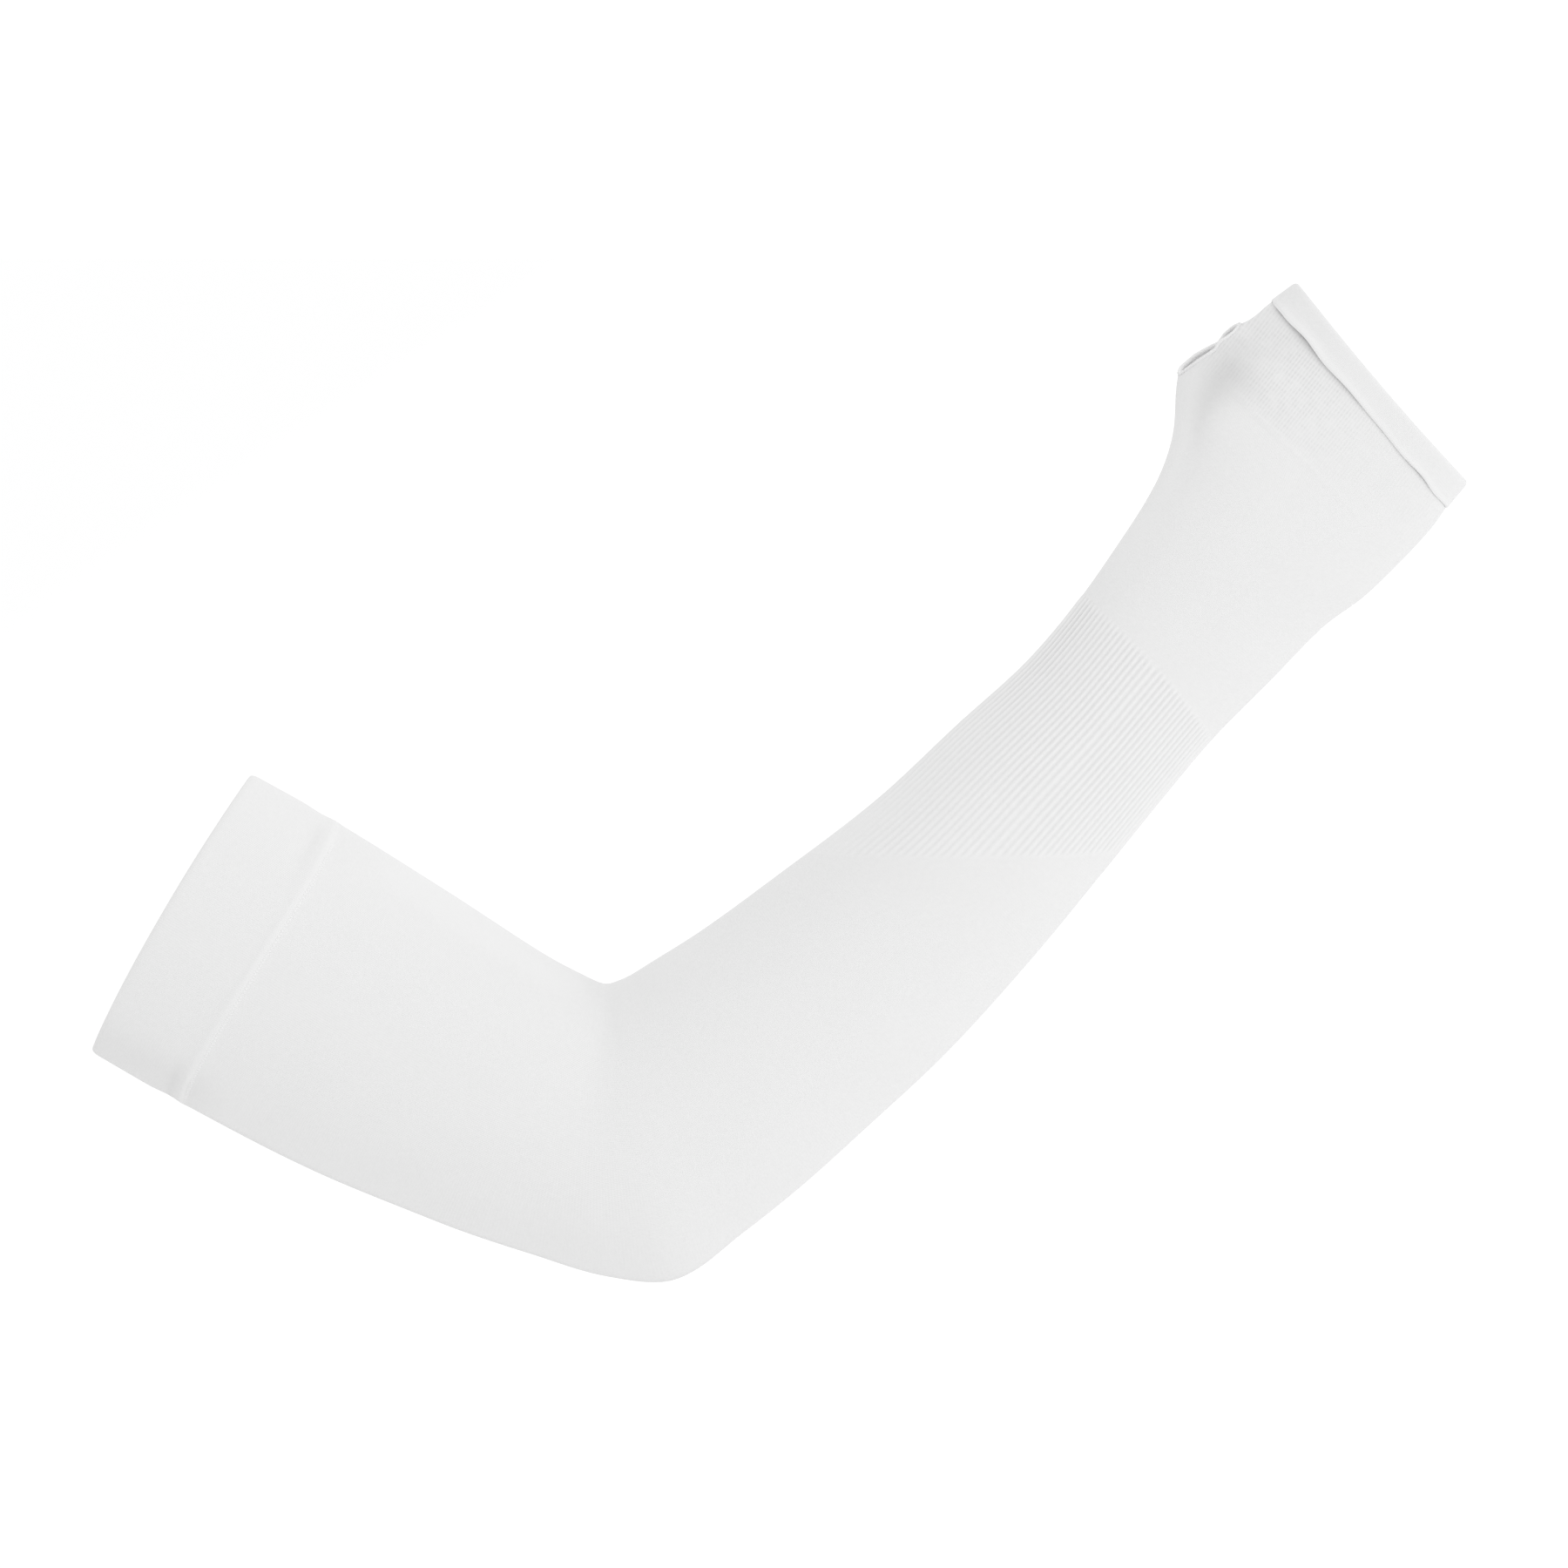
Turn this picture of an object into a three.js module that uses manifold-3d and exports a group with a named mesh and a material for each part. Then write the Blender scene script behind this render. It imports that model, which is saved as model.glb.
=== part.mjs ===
// Arm sleeve with a thumb hole: one knitted tube from the upper arm to the knuckles, in the form it has
// on a bent arm. Millimetres. X runs from the upper arm towards the hand, Z is up, Y runs through the arm.
// The origin is the middle of the upper-arm opening.

import * as THREE from 'three';
import { LoftGeometry } from 'three/addons/geometries/LoftGeometry.js';
import { mergeVertices } from 'three/addons/utils/BufferGeometryUtils.js';
import Module from 'manifold-3d';

// Cloth thicknesses and the clearance between neighbouring pieces
const KNIT_WALL = 1.2;
const WELT_WALL = 2.2;
const WELT_PROUD = 0.4;
const JOIN_GAP = 0.3;

// Folded edges of the two welts: on both faces the upper one bows out and the hand's one bows in
const OPENING_BOW = 1.8;
const HAND_BOW = 1.2;
const UPPER_FOLD_RADIUS = 2.6;
const HAND_FOLD_RADIUS = 1.8;

// Stitched ridge that closes the upper welt
const SEAM_WIDTH = 2.6;
const SEAM_CREST = 0.8;
const SEAM_SWAY = 1.8;
const SEAM_BOW = 0.7;

// Ribs above the wrist: they start at a level plane and end past the wrist, later on the inner side.
// RIB_EVENNESS is 0 where they are spaced by angle and 1 where they look evenly spaced on a face.
const RIB_COUNT = 80;
const RIB_EVENNESS = 0.55;
const RIB_CREST = 0.1;
const RIB_GROOVE = -0.4;
const RIB_START_HEIGHT = 19;
const RIB_END_PAST_WRIST = 4.2;
const RIB_END_SLANT = 4.7;
const RIB_END_BOW = 2.2;

// Thumb hole: a plane cuts the thumb stub open, and a narrow rim stands on the cut
const RIM_FOOT = { x: 312.1, z: 166.3 };
const RIM_TILT = 40.5;
const RIM_HEIGHT = 1;
const RIM_STEPS = 28;

// Roundness of a section: 2 is an ellipse, more is fuller at the corners
const FULLNESS = 2.15;

// Facets round a plain piece, and the angles of their corners
const SIDES = 36;
const PLAIN_ANGLES = Array.from({ length: SIDES }, (_, side) => (360 * side) / SIDES);

// Sections across the sleeve, in order along the arm. x and z place the middle, lean is the direction in
// degrees from the outer side of the arm to its inner side, breadth lies along it and depth along Y.
const SECTIONS = [
  { name: 'upper opening', x: 0, z: 0, lean: 60, breadth: 99, depth: 88 },
  { name: 'hem seam', x: 27.5, z: -15.7, lean: 61.5, breadth: 99.4, depth: 88 },
  { name: 'mid upper arm', x: 64.7, z: -36.9, lean: 63, breadth: 96, depth: 87 },
  { name: 'above elbow', x: 100.4, z: -55.4, lean: 66.5, breadth: 89, depth: 85 },
  { name: 'elbow start', x: 120.4, z: -63.2, lean: 79.5, breadth: 88, depth: 83 },
  { name: 'elbow', x: 134.7, z: -67.6, lean: 91.7, breadth: 91.6, depth: 82 },
  { name: 'elbow point', x: 146.7, z: -68, lean: 102, breadth: 94.4, depth: 82 },
  { name: 'elbow end', x: 160.4, z: -59.4, lean: 112.5, breadth: 87.6, depth: 81 },
  { name: 'below elbow', x: 185.4, z: -40, lean: 129.5, breadth: 80.7, depth: 79 },
  { name: 'forearm', x: 215.2, z: -15.4, lean: 131, breadth: 75.8, depth: 73 },
  { name: 'mid forearm', x: 243, z: 10.5, lean: 133.5, breadth: 69, depth: 65 },
  { name: 'low forearm', x: 267, z: 36.2, lean: 135.5, breadth: 64.2, depth: 56 },
  { name: 'above wrist', x: 286.6, z: 57.1, lean: 138.5, breadth: 59.7, depth: 48 },
  { name: 'wrist', x: 300.6, z: 73.4, lean: 140.5, breadth: 59.3, depth: 43 },
  { name: 'heel of hand', x: 315.8, z: 91.4, lean: 141, breadth: 63, depth: 38 },
  { name: 'palm', x: 331, z: 110.8, lean: 140, breadth: 68.4, depth: 35 },
  { name: 'thumb base', x: 339.9, z: 123, lean: 140, breadth: 77.6, depth: 34 },
  { name: 'thumb corner', x: 346.7, z: 138.8, lean: 139.5, breadth: 90.8, depth: 33 },
  { name: 'thumb crown', x: 353.4, z: 148.8, lean: 136.5, breadth: 94.7, depth: 32 },
  { name: 'thumb end', x: 361.8, z: 151.9, lean: 134, breadth: 86, depth: 31 },
  { name: 'hand hem line', x: 368.3, z: 158, lean: 130.3, breadth: 83.5, depth: 30 },
  { name: 'hand opening', x: 375, z: 164.4, lean: 130.7, breadth: 81.2, depth: 30 },
];

// Soft dents, alike on both faces. shift is the distance past a section, angle is 0 at the inner side of the
// arm and 180 at its outer side, slant is the distance further along for each degree past that angle, and
// long and wide are the reach along the arm in millimetres and round it in degrees.
const FOLDS = [
  // Elbow crease
  { section: 'elbow start', shift: 12.5, angle: 50, slant: -0.11, long: 12, wide: 36, depth: 1.6 },
  // Thumb web
  { section: 'thumb corner', shift: -1.4, angle: 38, slant: 1.5, long: 24, wide: 13, depth: 1.4 },
  // Inner hem dip
  { section: 'hem seam', shift: -6, angle: 24, slant: 0, long: 4, wide: 22, depth: 0.8 },
  // Outer hem dip
  { section: 'hem seam', shift: -5, angle: 160, slant: 0, long: 4, wide: 18, depth: 0.8 },
];

const COLOURS = { knit: 0xf1f1f1, welt: 0xf3f3f3, rib: 0xededed, edge: 0xf5f5f5 };

const wasm = await Module();
wasm.setup();

// Distance along the middle line at each section
const STATIONS = [0];
for (let row = 1; row < SECTIONS.length; row++) {
  const stepX = SECTIONS[row].x - SECTIONS[row - 1].x;
  const stepZ = SECTIONS[row].z - SECTIONS[row - 1].z;
  STATIONS.push(STATIONS[row - 1] + Math.hypot(stepX, stepZ));
}

function stationOf(name) {
  return STATIONS[SECTIONS.findIndex((section) => section.name === name)];
}

// Slope of one column of the section table at a row
function slopeAt(column, row) {
  const before = Math.max(row - 1, 0);
  const after = Math.min(row + 1, SECTIONS.length - 1);
  return (SECTIONS[after][column] - SECTIONS[before][column]) / (STATIONS[after] - STATIONS[before]);
}

// One column of the section table at a distance along the sleeve, on a smooth cubic through the rows
function sized(column, along) {
  const next = STATIONS.findIndex((station) => station > along);
  const row = next < 0 ? SECTIONS.length - 2 : Math.max(next - 1, 0);
  const span = STATIONS[row + 1] - STATIONS[row];
  const t = (along - STATIONS[row]) / span;
  const start = SECTIONS[row][column];
  const rise = SECTIONS[row + 1][column] - start;
  const leave = slopeAt(column, row) * span;
  const arrive = slopeAt(column, row + 1) * span;
  return start + t * (leave + t * (3 * rise - 2 * leave - arrive + t * (leave + arrive - 2 * rise)));
}

// The angle from the inner side of the arm, from 0 to 180 on either face
function fromInnerSide(angle) {
  return Math.abs(THREE.MathUtils.euclideanModulo(angle + 180, 360) - 180);
}

// Depth of all the folds at a place on the sleeve
function foldDepth(along, angle) {
  const turn = fromInnerSide(angle);
  let depth = 0;
  for (const fold of FOLDS) {
    const middle = stationOf(fold.section) + fold.shift + fold.slant * (turn - fold.angle);
    const far = ((along - middle) / fold.long) ** 2 + ((turn - fold.angle) / fold.wide) ** 2;
    depth += fold.depth * Math.exp(-far);
  }
  return depth;
}

// A point of the sleeve: along the arm, round it in degrees, and raised from the knit's outer face
function sleevePoint(along, angle, raised) {
  const turn = THREE.MathUtils.degToRad(angle);
  const lean = THREE.MathUtils.degToRad(sized('lean', along));
  const lift = raised - foldDepth(along, angle);
  const across = Math.sign(Math.cos(turn)) * Math.abs(Math.cos(turn)) ** (2 / FULLNESS);
  const through = Math.sign(Math.sin(turn)) * Math.abs(Math.sin(turn)) ** (2 / FULLNESS);
  const reach = across * (sized('breadth', along) / 2 + lift);
  return new THREE.Vector3(
    sized('x', along) + reach * Math.cos(lean),
    -through * (sized('depth', along) / 2 + lift),
    sized('z', along) + reach * Math.sin(lean),
  );
}

// One ring of points round the sleeve at a list of angles. An edge gives the distance along at an angle, and
// raisedAt the raise of a side.
function ring(angles, edge, raisedAt) {
  return angles.map((angle, side) => sleevePoint(edge(angle), angle, raisedAt(side)));
}

// Edges spaced evenly from one edge to another
function edgesBetween(start, end, count) {
  return Array.from({ length: count + 1 }, (_, step) => (
    (angle) => THREE.MathUtils.lerp(start(angle), end(angle), step / count)
  ));
}

// A closed wall: along its outer face, round its far edge, back along its inner face and to its first ring
function wallGeometry(rings) {
  return new LoftGeometry([...rings, rings[0]]);
}

// A plain wall of knit through a list of edges
function knitWall(angles, outerEdges, innerEdges, outerRaised) {
  const outer = outerEdges.map((edge) => ring(angles, edge, outerRaised));
  const inner = innerEdges.map((edge) => ring(angles, edge, () => -KNIT_WALL));
  return wallGeometry([...outer, ...inner.reverse()]);
}

// Rings of a folded welt from its open end over the outer face, round the fold and back inside.
// away is 1 where the welt runs on along the arm from its fold, and -1 where it runs back.
function weltRings(fold, openEnd, away, foldRadius) {
  const inside = WELT_PROUD - WELT_WALL;
  const fromFold = (distance) => (angle) => fold(angle) + away * distance;
  const halfWay = (angle) => (fold(angle) + openEnd(angle)) / 2;
  const profile = [
    { edge: openEnd, raised: WELT_PROUD },
    { edge: halfWay, raised: WELT_PROUD },
    { edge: fromFold(foldRadius), raised: WELT_PROUD - 0.1 * WELT_WALL },
    { edge: fromFold(foldRadius * 0.35), raised: WELT_PROUD - 0.3 * WELT_WALL },
    { edge: fold, raised: WELT_PROUD - 0.5 * WELT_WALL },
    { edge: fromFold(foldRadius * 0.35), raised: inside + 0.2 * WELT_WALL },
    { edge: fromFold(foldRadius), raised: inside },
    { edge: openEnd, raised: inside },
  ];
  return profile.map(({ edge, raised }) => ring(PLAIN_ANGLES, edge, () => raised));
}

// Edges of the pieces, each a distance along the sleeve at an angle
const atSection = (name) => () => stationOf(name);
const shifted = (edge, distance) => (angle) => edge(angle) + distance;

function openingEdge(angle) {
  return -OPENING_BOW * Math.sin(THREE.MathUtils.degToRad(angle)) ** 2;
}

function handEdge(angle) {
  return stationOf('hand opening') - HAND_BOW * Math.sin(THREE.MathUtils.degToRad(angle)) ** 2;
}

function seamEdge(angle) {
  const turn = THREE.MathUtils.degToRad(fromInnerSide(angle));
  return stationOf('hem seam') + SEAM_SWAY * Math.sin(2 * turn) - SEAM_BOW * Math.sin(turn) ** 2;
}

// Where the sleeve rises through the level plane at which the ribs start
function ribStartEdge(angle) {
  let low = stationOf('below elbow');
  let high = stationOf('above wrist');
  for (let halving = 0; halving < 40; halving++) {
    const middle = (low + high) / 2;
    if (sleevePoint(middle, angle, 0).z < RIB_START_HEIGHT) low = middle;
    else high = middle;
  }
  return low;
}

function ribEndEdge(angle) {
  const turn = THREE.MathUtils.degToRad(angle);
  const past = RIB_END_PAST_WRIST + RIB_END_SLANT * Math.cos(turn) + RIB_END_BOW * Math.sin(turn) ** 2;
  return stationOf('wrist') + past;
}

// Share of a face's ribs that lie between the inner side of the arm and an angle up to 180
function ribShare(angle) {
  const seen = (1 - Math.cos(THREE.MathUtils.degToRad(angle))) / 2;
  return THREE.MathUtils.lerp(angle / 180, seen, RIB_EVENNESS);
}

// The angle, up to 180, at which a share of the ribs is reached
function ribAngle(share) {
  let low = 0;
  let high = 180;
  for (let halving = 0; halving < 40; halving++) {
    const middle = (low + high) / 2;
    if (ribShare(middle) < share) low = middle;
    else high = middle;
  }
  return low;
}

// Angles of the crests and grooves in turn, over the face that shows and back over the far one
function ribAngles() {
  return Array.from({ length: RIB_COUNT * 2 }, (_, side) => {
    const faces = side / RIB_COUNT;
    return faces <= 1 ? ribAngle(faces) : 360 - ribAngle(2 - faces);
  });
}

// The plane of the thumb hole, with its outward direction
const rimTilt = THREE.MathUtils.degToRad(RIM_TILT);
const rimOut = new THREE.Vector3(-Math.sin(rimTilt), 0, Math.cos(rimTilt));
const rimFoot = new THREE.Vector3(RIM_FOOT.x, 0, RIM_FOOT.z);

function solidOf(geometry) {
  const bare = new THREE.BufferGeometry();
  bare.setAttribute('position', geometry.attributes.position);
  bare.setIndex(geometry.index);
  const merged = mergeVertices(bare, 1e-4);
  return new wasm.Manifold(new wasm.Mesh({
    numProp: 3,
    vertProperties: Float32Array.from(merged.attributes.position.array),
    triVerts: Uint32Array.from(merged.index.array),
  }));
}

function geometryOf(solid) {
  const mesh = solid.getMesh();
  const geometry = new THREE.BufferGeometry();
  const positions = Float32Array.from(mesh.vertProperties);
  geometry.setAttribute('position', new THREE.BufferAttribute(positions, 3));
  geometry.setIndex(new THREE.BufferAttribute(Uint32Array.from(mesh.triVerts), 1));
  geometry.computeVertexNormals();
  return geometry;
}

// Everything past the plane of the thumb hole, as a block that stands on it
function beyondRim() {
  const size = 70;
  const block = new THREE.BoxGeometry(size, size, size);
  block.translate(0, 0, size / 2);
  block.rotateY(-rimTilt);
  block.translate(rimFoot.x, rimFoot.y, rimFoot.z);
  return block;
}

// A point of the hole's edge: from the crown of the thumb stub outwards until the plane is met
function rimPoint(turn, raised) {
  const reachAlong = 40;
  const reachRound = 80;
  const at = (part) => sleevePoint(
    stationOf('thumb crown') + part * reachAlong * Math.cos(turn),
    part * reachRound * Math.sin(turn),
    raised,
  );
  let inside = 0;
  let outside = 1;
  for (let halving = 0; halving < 40; halving++) {
    const part = (inside + outside) / 2;
    if (at(part).sub(rimFoot).dot(rimOut) > 0) inside = part;
    else outside = part;
  }
  return at(inside);
}

// The rim: a narrow rounded band that stands on the cut edge of the knit all round the hole
function rimGeometry() {
  const sections = [];
  for (let step = 0; step <= RIM_STEPS; step++) {
    const turn = (2 * Math.PI * (step % RIM_STEPS)) / RIM_STEPS;
    const outer = rimPoint(turn, 0).addScaledVector(rimOut, JOIN_GAP);
    const inner = rimPoint(turn, -KNIT_WALL).addScaledVector(rimOut, JOIN_GAP);
    const crest = outer.clone().lerp(inner, 0.5).addScaledVector(rimOut, RIM_HEIGHT);
    const shoulder = (from) => from.clone().addScaledVector(rimOut, RIM_HEIGHT * 0.6);
    sections.push([outer, shoulder(outer), crest, shoulder(inner), inner]);
  }
  return new LoftGeometry(sections);
}

function piece(name, geometry, colour, roughness) {
  const material = new THREE.MeshStandardMaterial({ color: colour, roughness, metalness: 0 });
  const mesh = new THREE.Mesh(geometry, material);
  mesh.name = name;
  return mesh;
}

function upperHem() {
  const openEnd = shifted(seamEdge, -SEAM_WIDTH / 2 - JOIN_GAP);
  const rings = weltRings(openingEdge, openEnd, 1, UPPER_FOLD_RADIUS);
  return piece('upper_hem', wallGeometry(rings.reverse()), COLOURS.welt, 0.9);
}

function hemSeam() {
  const profile = [
    { side: -0.5, raised: 0.2 },
    { side: -0.3, raised: 0.8 * SEAM_CREST },
    { side: 0, raised: SEAM_CREST },
    { side: 0.3, raised: 0.8 * SEAM_CREST },
    { side: 0.5, raised: 0.2 },
    { side: 0.5, raised: -KNIT_WALL },
    { side: -0.5, raised: -KNIT_WALL },
  ];
  const rings = profile.map(({ side, raised }) => (
    ring(PLAIN_ANGLES, shifted(seamEdge, side * SEAM_WIDTH), () => raised)
  ));
  return piece('hem_seam', wallGeometry(rings), COLOURS.edge, 0.85);
}

function armTube() {
  const start = shifted(seamEdge, SEAM_WIDTH / 2 + JOIN_GAP);
  const end = shifted(ribStartEdge, -JOIN_GAP / 2);
  const edges = [
    ...edgesBetween(start, atSection('above elbow'), 5),
    ...edgesBetween(atSection('above elbow'), atSection('below elbow'), 12).slice(1),
    ...edgesBetween(atSection('below elbow'), end, 8).slice(1),
  ];
  return piece('arm_tube', knitWall(PLAIN_ANGLES, edges, edges, () => 0), COLOURS.knit, 0.9);
}

function ribBand() {
  const start = shifted(ribStartEdge, JOIN_GAP / 2);
  const end = shifted(ribEndEdge, -JOIN_GAP / 2);
  const raised = (side) => (side % 2 === 0 ? RIB_CREST : RIB_GROOVE);
  const wall = knitWall(ribAngles(), edgesBetween(start, end, 5), edgesBetween(start, end, 4), raised);
  return piece('rib_band', wall, COLOURS.rib, 0.92);
}

function handCover() {
  const start = shifted(ribEndEdge, JOIN_GAP / 2);
  const end = shifted(atSection('hand hem line'), -JOIN_GAP / 2);
  const edges = edgesBetween(start, end, 14);
  const whole = solidOf(knitWall(PLAIN_ANGLES, edges, edges, () => 0));
  return piece('hand_cover', geometryOf(whole.subtract(solidOf(beyondRim()))), COLOURS.knit, 0.9);
}

function thumbEdge() {
  return piece('thumb_edge', rimGeometry(), COLOURS.edge, 0.88);
}

function handHem() {
  const openEnd = shifted(atSection('hand hem line'), JOIN_GAP / 2);
  const rings = weltRings(handEdge, openEnd, -1, HAND_FOLD_RADIUS);
  return piece('hand_hem', wallGeometry(rings), COLOURS.welt, 0.9);
}

const armSleeve = new THREE.Group();
armSleeve.name = 'arm_sleeve';
armSleeve.add(upperHem(), hemSeam(), armTube(), ribBand(), handCover(), thumbEdge(), handHem());

export default armSleeve;
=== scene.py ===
"""Knitted arm sleeve with a ribbed wrist and a thumb hole, dressed in the form it has on a bent arm."""
import logging
import math
from dataclasses import dataclass, field
from enum import Enum
from typing import Callable, Sequence, Union

import bmesh
import bpy
import numpy as np
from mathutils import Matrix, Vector


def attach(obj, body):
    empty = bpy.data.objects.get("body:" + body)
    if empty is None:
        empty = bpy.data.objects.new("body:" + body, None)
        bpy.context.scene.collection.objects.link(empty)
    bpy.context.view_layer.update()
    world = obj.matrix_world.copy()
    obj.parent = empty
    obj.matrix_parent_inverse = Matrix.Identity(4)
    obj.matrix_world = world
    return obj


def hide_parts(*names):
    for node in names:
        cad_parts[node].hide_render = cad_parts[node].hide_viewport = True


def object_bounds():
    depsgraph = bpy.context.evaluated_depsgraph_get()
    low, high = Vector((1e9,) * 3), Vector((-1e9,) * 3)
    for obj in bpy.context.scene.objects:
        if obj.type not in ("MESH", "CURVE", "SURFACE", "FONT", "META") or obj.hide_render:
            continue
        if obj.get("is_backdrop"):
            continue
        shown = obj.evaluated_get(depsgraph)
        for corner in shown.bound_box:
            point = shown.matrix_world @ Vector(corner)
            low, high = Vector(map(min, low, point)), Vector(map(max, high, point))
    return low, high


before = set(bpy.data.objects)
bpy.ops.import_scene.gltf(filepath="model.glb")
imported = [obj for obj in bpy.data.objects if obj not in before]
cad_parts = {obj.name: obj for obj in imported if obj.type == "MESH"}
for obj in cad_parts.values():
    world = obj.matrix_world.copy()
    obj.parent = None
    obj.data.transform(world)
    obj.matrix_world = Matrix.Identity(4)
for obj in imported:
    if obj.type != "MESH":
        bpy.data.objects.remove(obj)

LOG = logging.getLogger("arm_sleeve")

MM = 0.001
TURN = 360.0
HALF_TURN = 180.0
STITCH_UV = "stitches"
# Crest of the ribs, which the rib material also turns into painted shade in the grooves.
CREST_MARK = "rib_crest"
RIB_TURN_MARK = "rib_turn"
RIB_FADE_MARK = "rib_fade"
MESH_MARK = "open_knit"
# Painted shade on the cloth, negative where a highlight is painted.
SHADE_MARK = "in_shade"
# Inner faces, where the knit material paints a glow standing in for light through the thin cloth.
INNER_MARK = "inner_face"
NORMAL_MARK = "stitch_normal"
# Crest value where the ribs have died away, setting the painted groove shade there to the plain knit's
# tone.
PLAIN_CREST = 0.62
CREST_POWER = 0.75
FOLD_STEPS = 8
CLOTH_WHITE = 0.748
MIX_DARK, MIX_LIGHT, MIX_RESULT = 6, 7, 2

Array = np.ndarray
Piece = bpy.types.Object
Material = bpy.types.Material
Socket = bpy.types.NodeSocket
Number = Union[float, int]
Operand = Union["Value", Number]
Edge = Callable[[Array], Array]
Profile = list[tuple[Edge, Union[float, Edge]]]


class Node(Enum):
    """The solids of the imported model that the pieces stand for."""

    UPPER_HEM = "upper_hem"
    HEM_SEAM = "hem_seam"
    ARM_TUBE = "arm_tube"
    RIB_BAND = "rib_band"
    HAND_COVER = "hand_cover"
    THUMB_EDGE = "thumb_edge"
    HAND_HEM = "hand_hem"


class Slot(Enum):
    """The record's material slots."""

    KNIT = "knit"
    WELT = "welt"
    RIB = "rib"
    SEAM = "seam"


@dataclass(frozen=True)
class Section:
    """One section across the sleeve: its middle, lean in degrees, breadth and depth in millimetres."""

    name: str
    x: float
    z: float
    lean: float
    breadth: float
    depth: float


@dataclass(frozen=True)
class Fold:
    """A soft dent, alike on both faces: its place, its reach along and round the arm, and its depth."""

    section: str
    shift: float
    angle: float
    slant: float
    long: float
    wide: float
    depth: float


SECTIONS: tuple[Section, ...] = (
    Section("upper opening", 0.0, 0.0, 60.0, 99.0, 88.0),
    Section("hem seam", 27.5, -15.7, 61.5, 99.4, 88.0),
    Section("mid upper arm", 64.7, -36.9, 63.0, 96.0, 87.0),
    Section("above elbow", 100.4, -55.4, 66.5, 89.0, 85.0),
    Section("elbow start", 120.4, -63.2, 79.5, 88.0, 83.0),
    Section("elbow", 134.7, -67.6, 91.7, 91.6, 82.0),
    Section("elbow point", 146.7, -68.0, 102.0, 94.4, 82.0),
    Section("elbow end", 160.4, -59.4, 112.5, 87.6, 81.0),
    Section("below elbow", 185.4, -40.0, 129.5, 80.7, 79.0),
    Section("forearm", 215.2, -15.4, 131.0, 75.8, 73.0),
    Section("mid forearm", 243.0, 10.5, 133.5, 69.0, 65.0),
    Section("low forearm", 267.0, 36.2, 135.5, 64.2, 56.0),
    Section("above wrist", 286.6, 57.1, 138.5, 59.7, 48.0),
    Section("wrist", 300.6, 73.4, 140.5, 59.3, 43.0),
    Section("heel of hand", 315.8, 91.4, 141.0, 63.0, 38.0),
    Section("palm", 331.0, 110.8, 140.0, 68.4, 35.0),
    Section("thumb base", 339.9, 123.0, 140.0, 77.6, 34.0),
    Section("thumb corner", 346.7, 138.8, 139.5, 90.8, 33.0),
    Section("thumb crown", 353.4, 148.8, 136.5, 94.7, 32.0),
    Section("thumb end", 361.8, 151.9, 134.0, 86.0, 31.0),
    Section("hand hem line", 368.3, 158.0, 130.3, 83.5, 30.0),
    Section("hand opening", 375.0, 164.4, 130.7, 81.2, 30.0),
)

FOLDS: tuple[Fold, ...] = (
    # Elbow crease
    Fold("elbow start", 12.5, 50.0, -0.11, 12.0, 36.0, 1.6),
    # Hollow between the thumb stub and the palm
    Fold("thumb corner", -1.4, 38.0, 1.5, 24.0, 13.0, 1.4),
    # Dips beside the ends of the hem seam
    Fold("hem seam", -6.0, 24.0, 0.0, 4.0, 22.0, 0.8),
    Fold("hem seam", -5.0, 160.0, 0.0, 4.0, 18.0, 0.8),
)


def from_inner_side(angle: Array) -> Array:
    """Turns any angle into the one from the inner side of the arm, from 0 to 180 on either face."""
    return np.abs(np.mod(angle + HALF_TURN, TURN) - HALF_TURN)


def bell(far: Array) -> Array:
    """Gives a soft hump: 1 at no distance, dying away past a distance of 1."""
    return np.exp(-(far**2))


@dataclass(frozen=True)
class Ramp:
    """A smooth rise from 0 at low to 1 at high."""

    low: float
    high: float

    def __call__(self, value: Array) -> Array:
        """Gives the rise at each value."""
        part = np.clip((value - self.low) / (self.high - self.low), 0.0, 1.0)
        return part * part * (3.0 - 2.0 * part)


@dataclass(frozen=True)
class Window:
    """A smooth rise and, past it, a smooth fall."""

    rise: Ramp
    fall: Ramp

    def __call__(self, value: Array) -> Array:
        """Gives the height at each value, 1 between the rise and the fall."""
        return self.rise(value) * (1.0 - self.fall(value))


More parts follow.
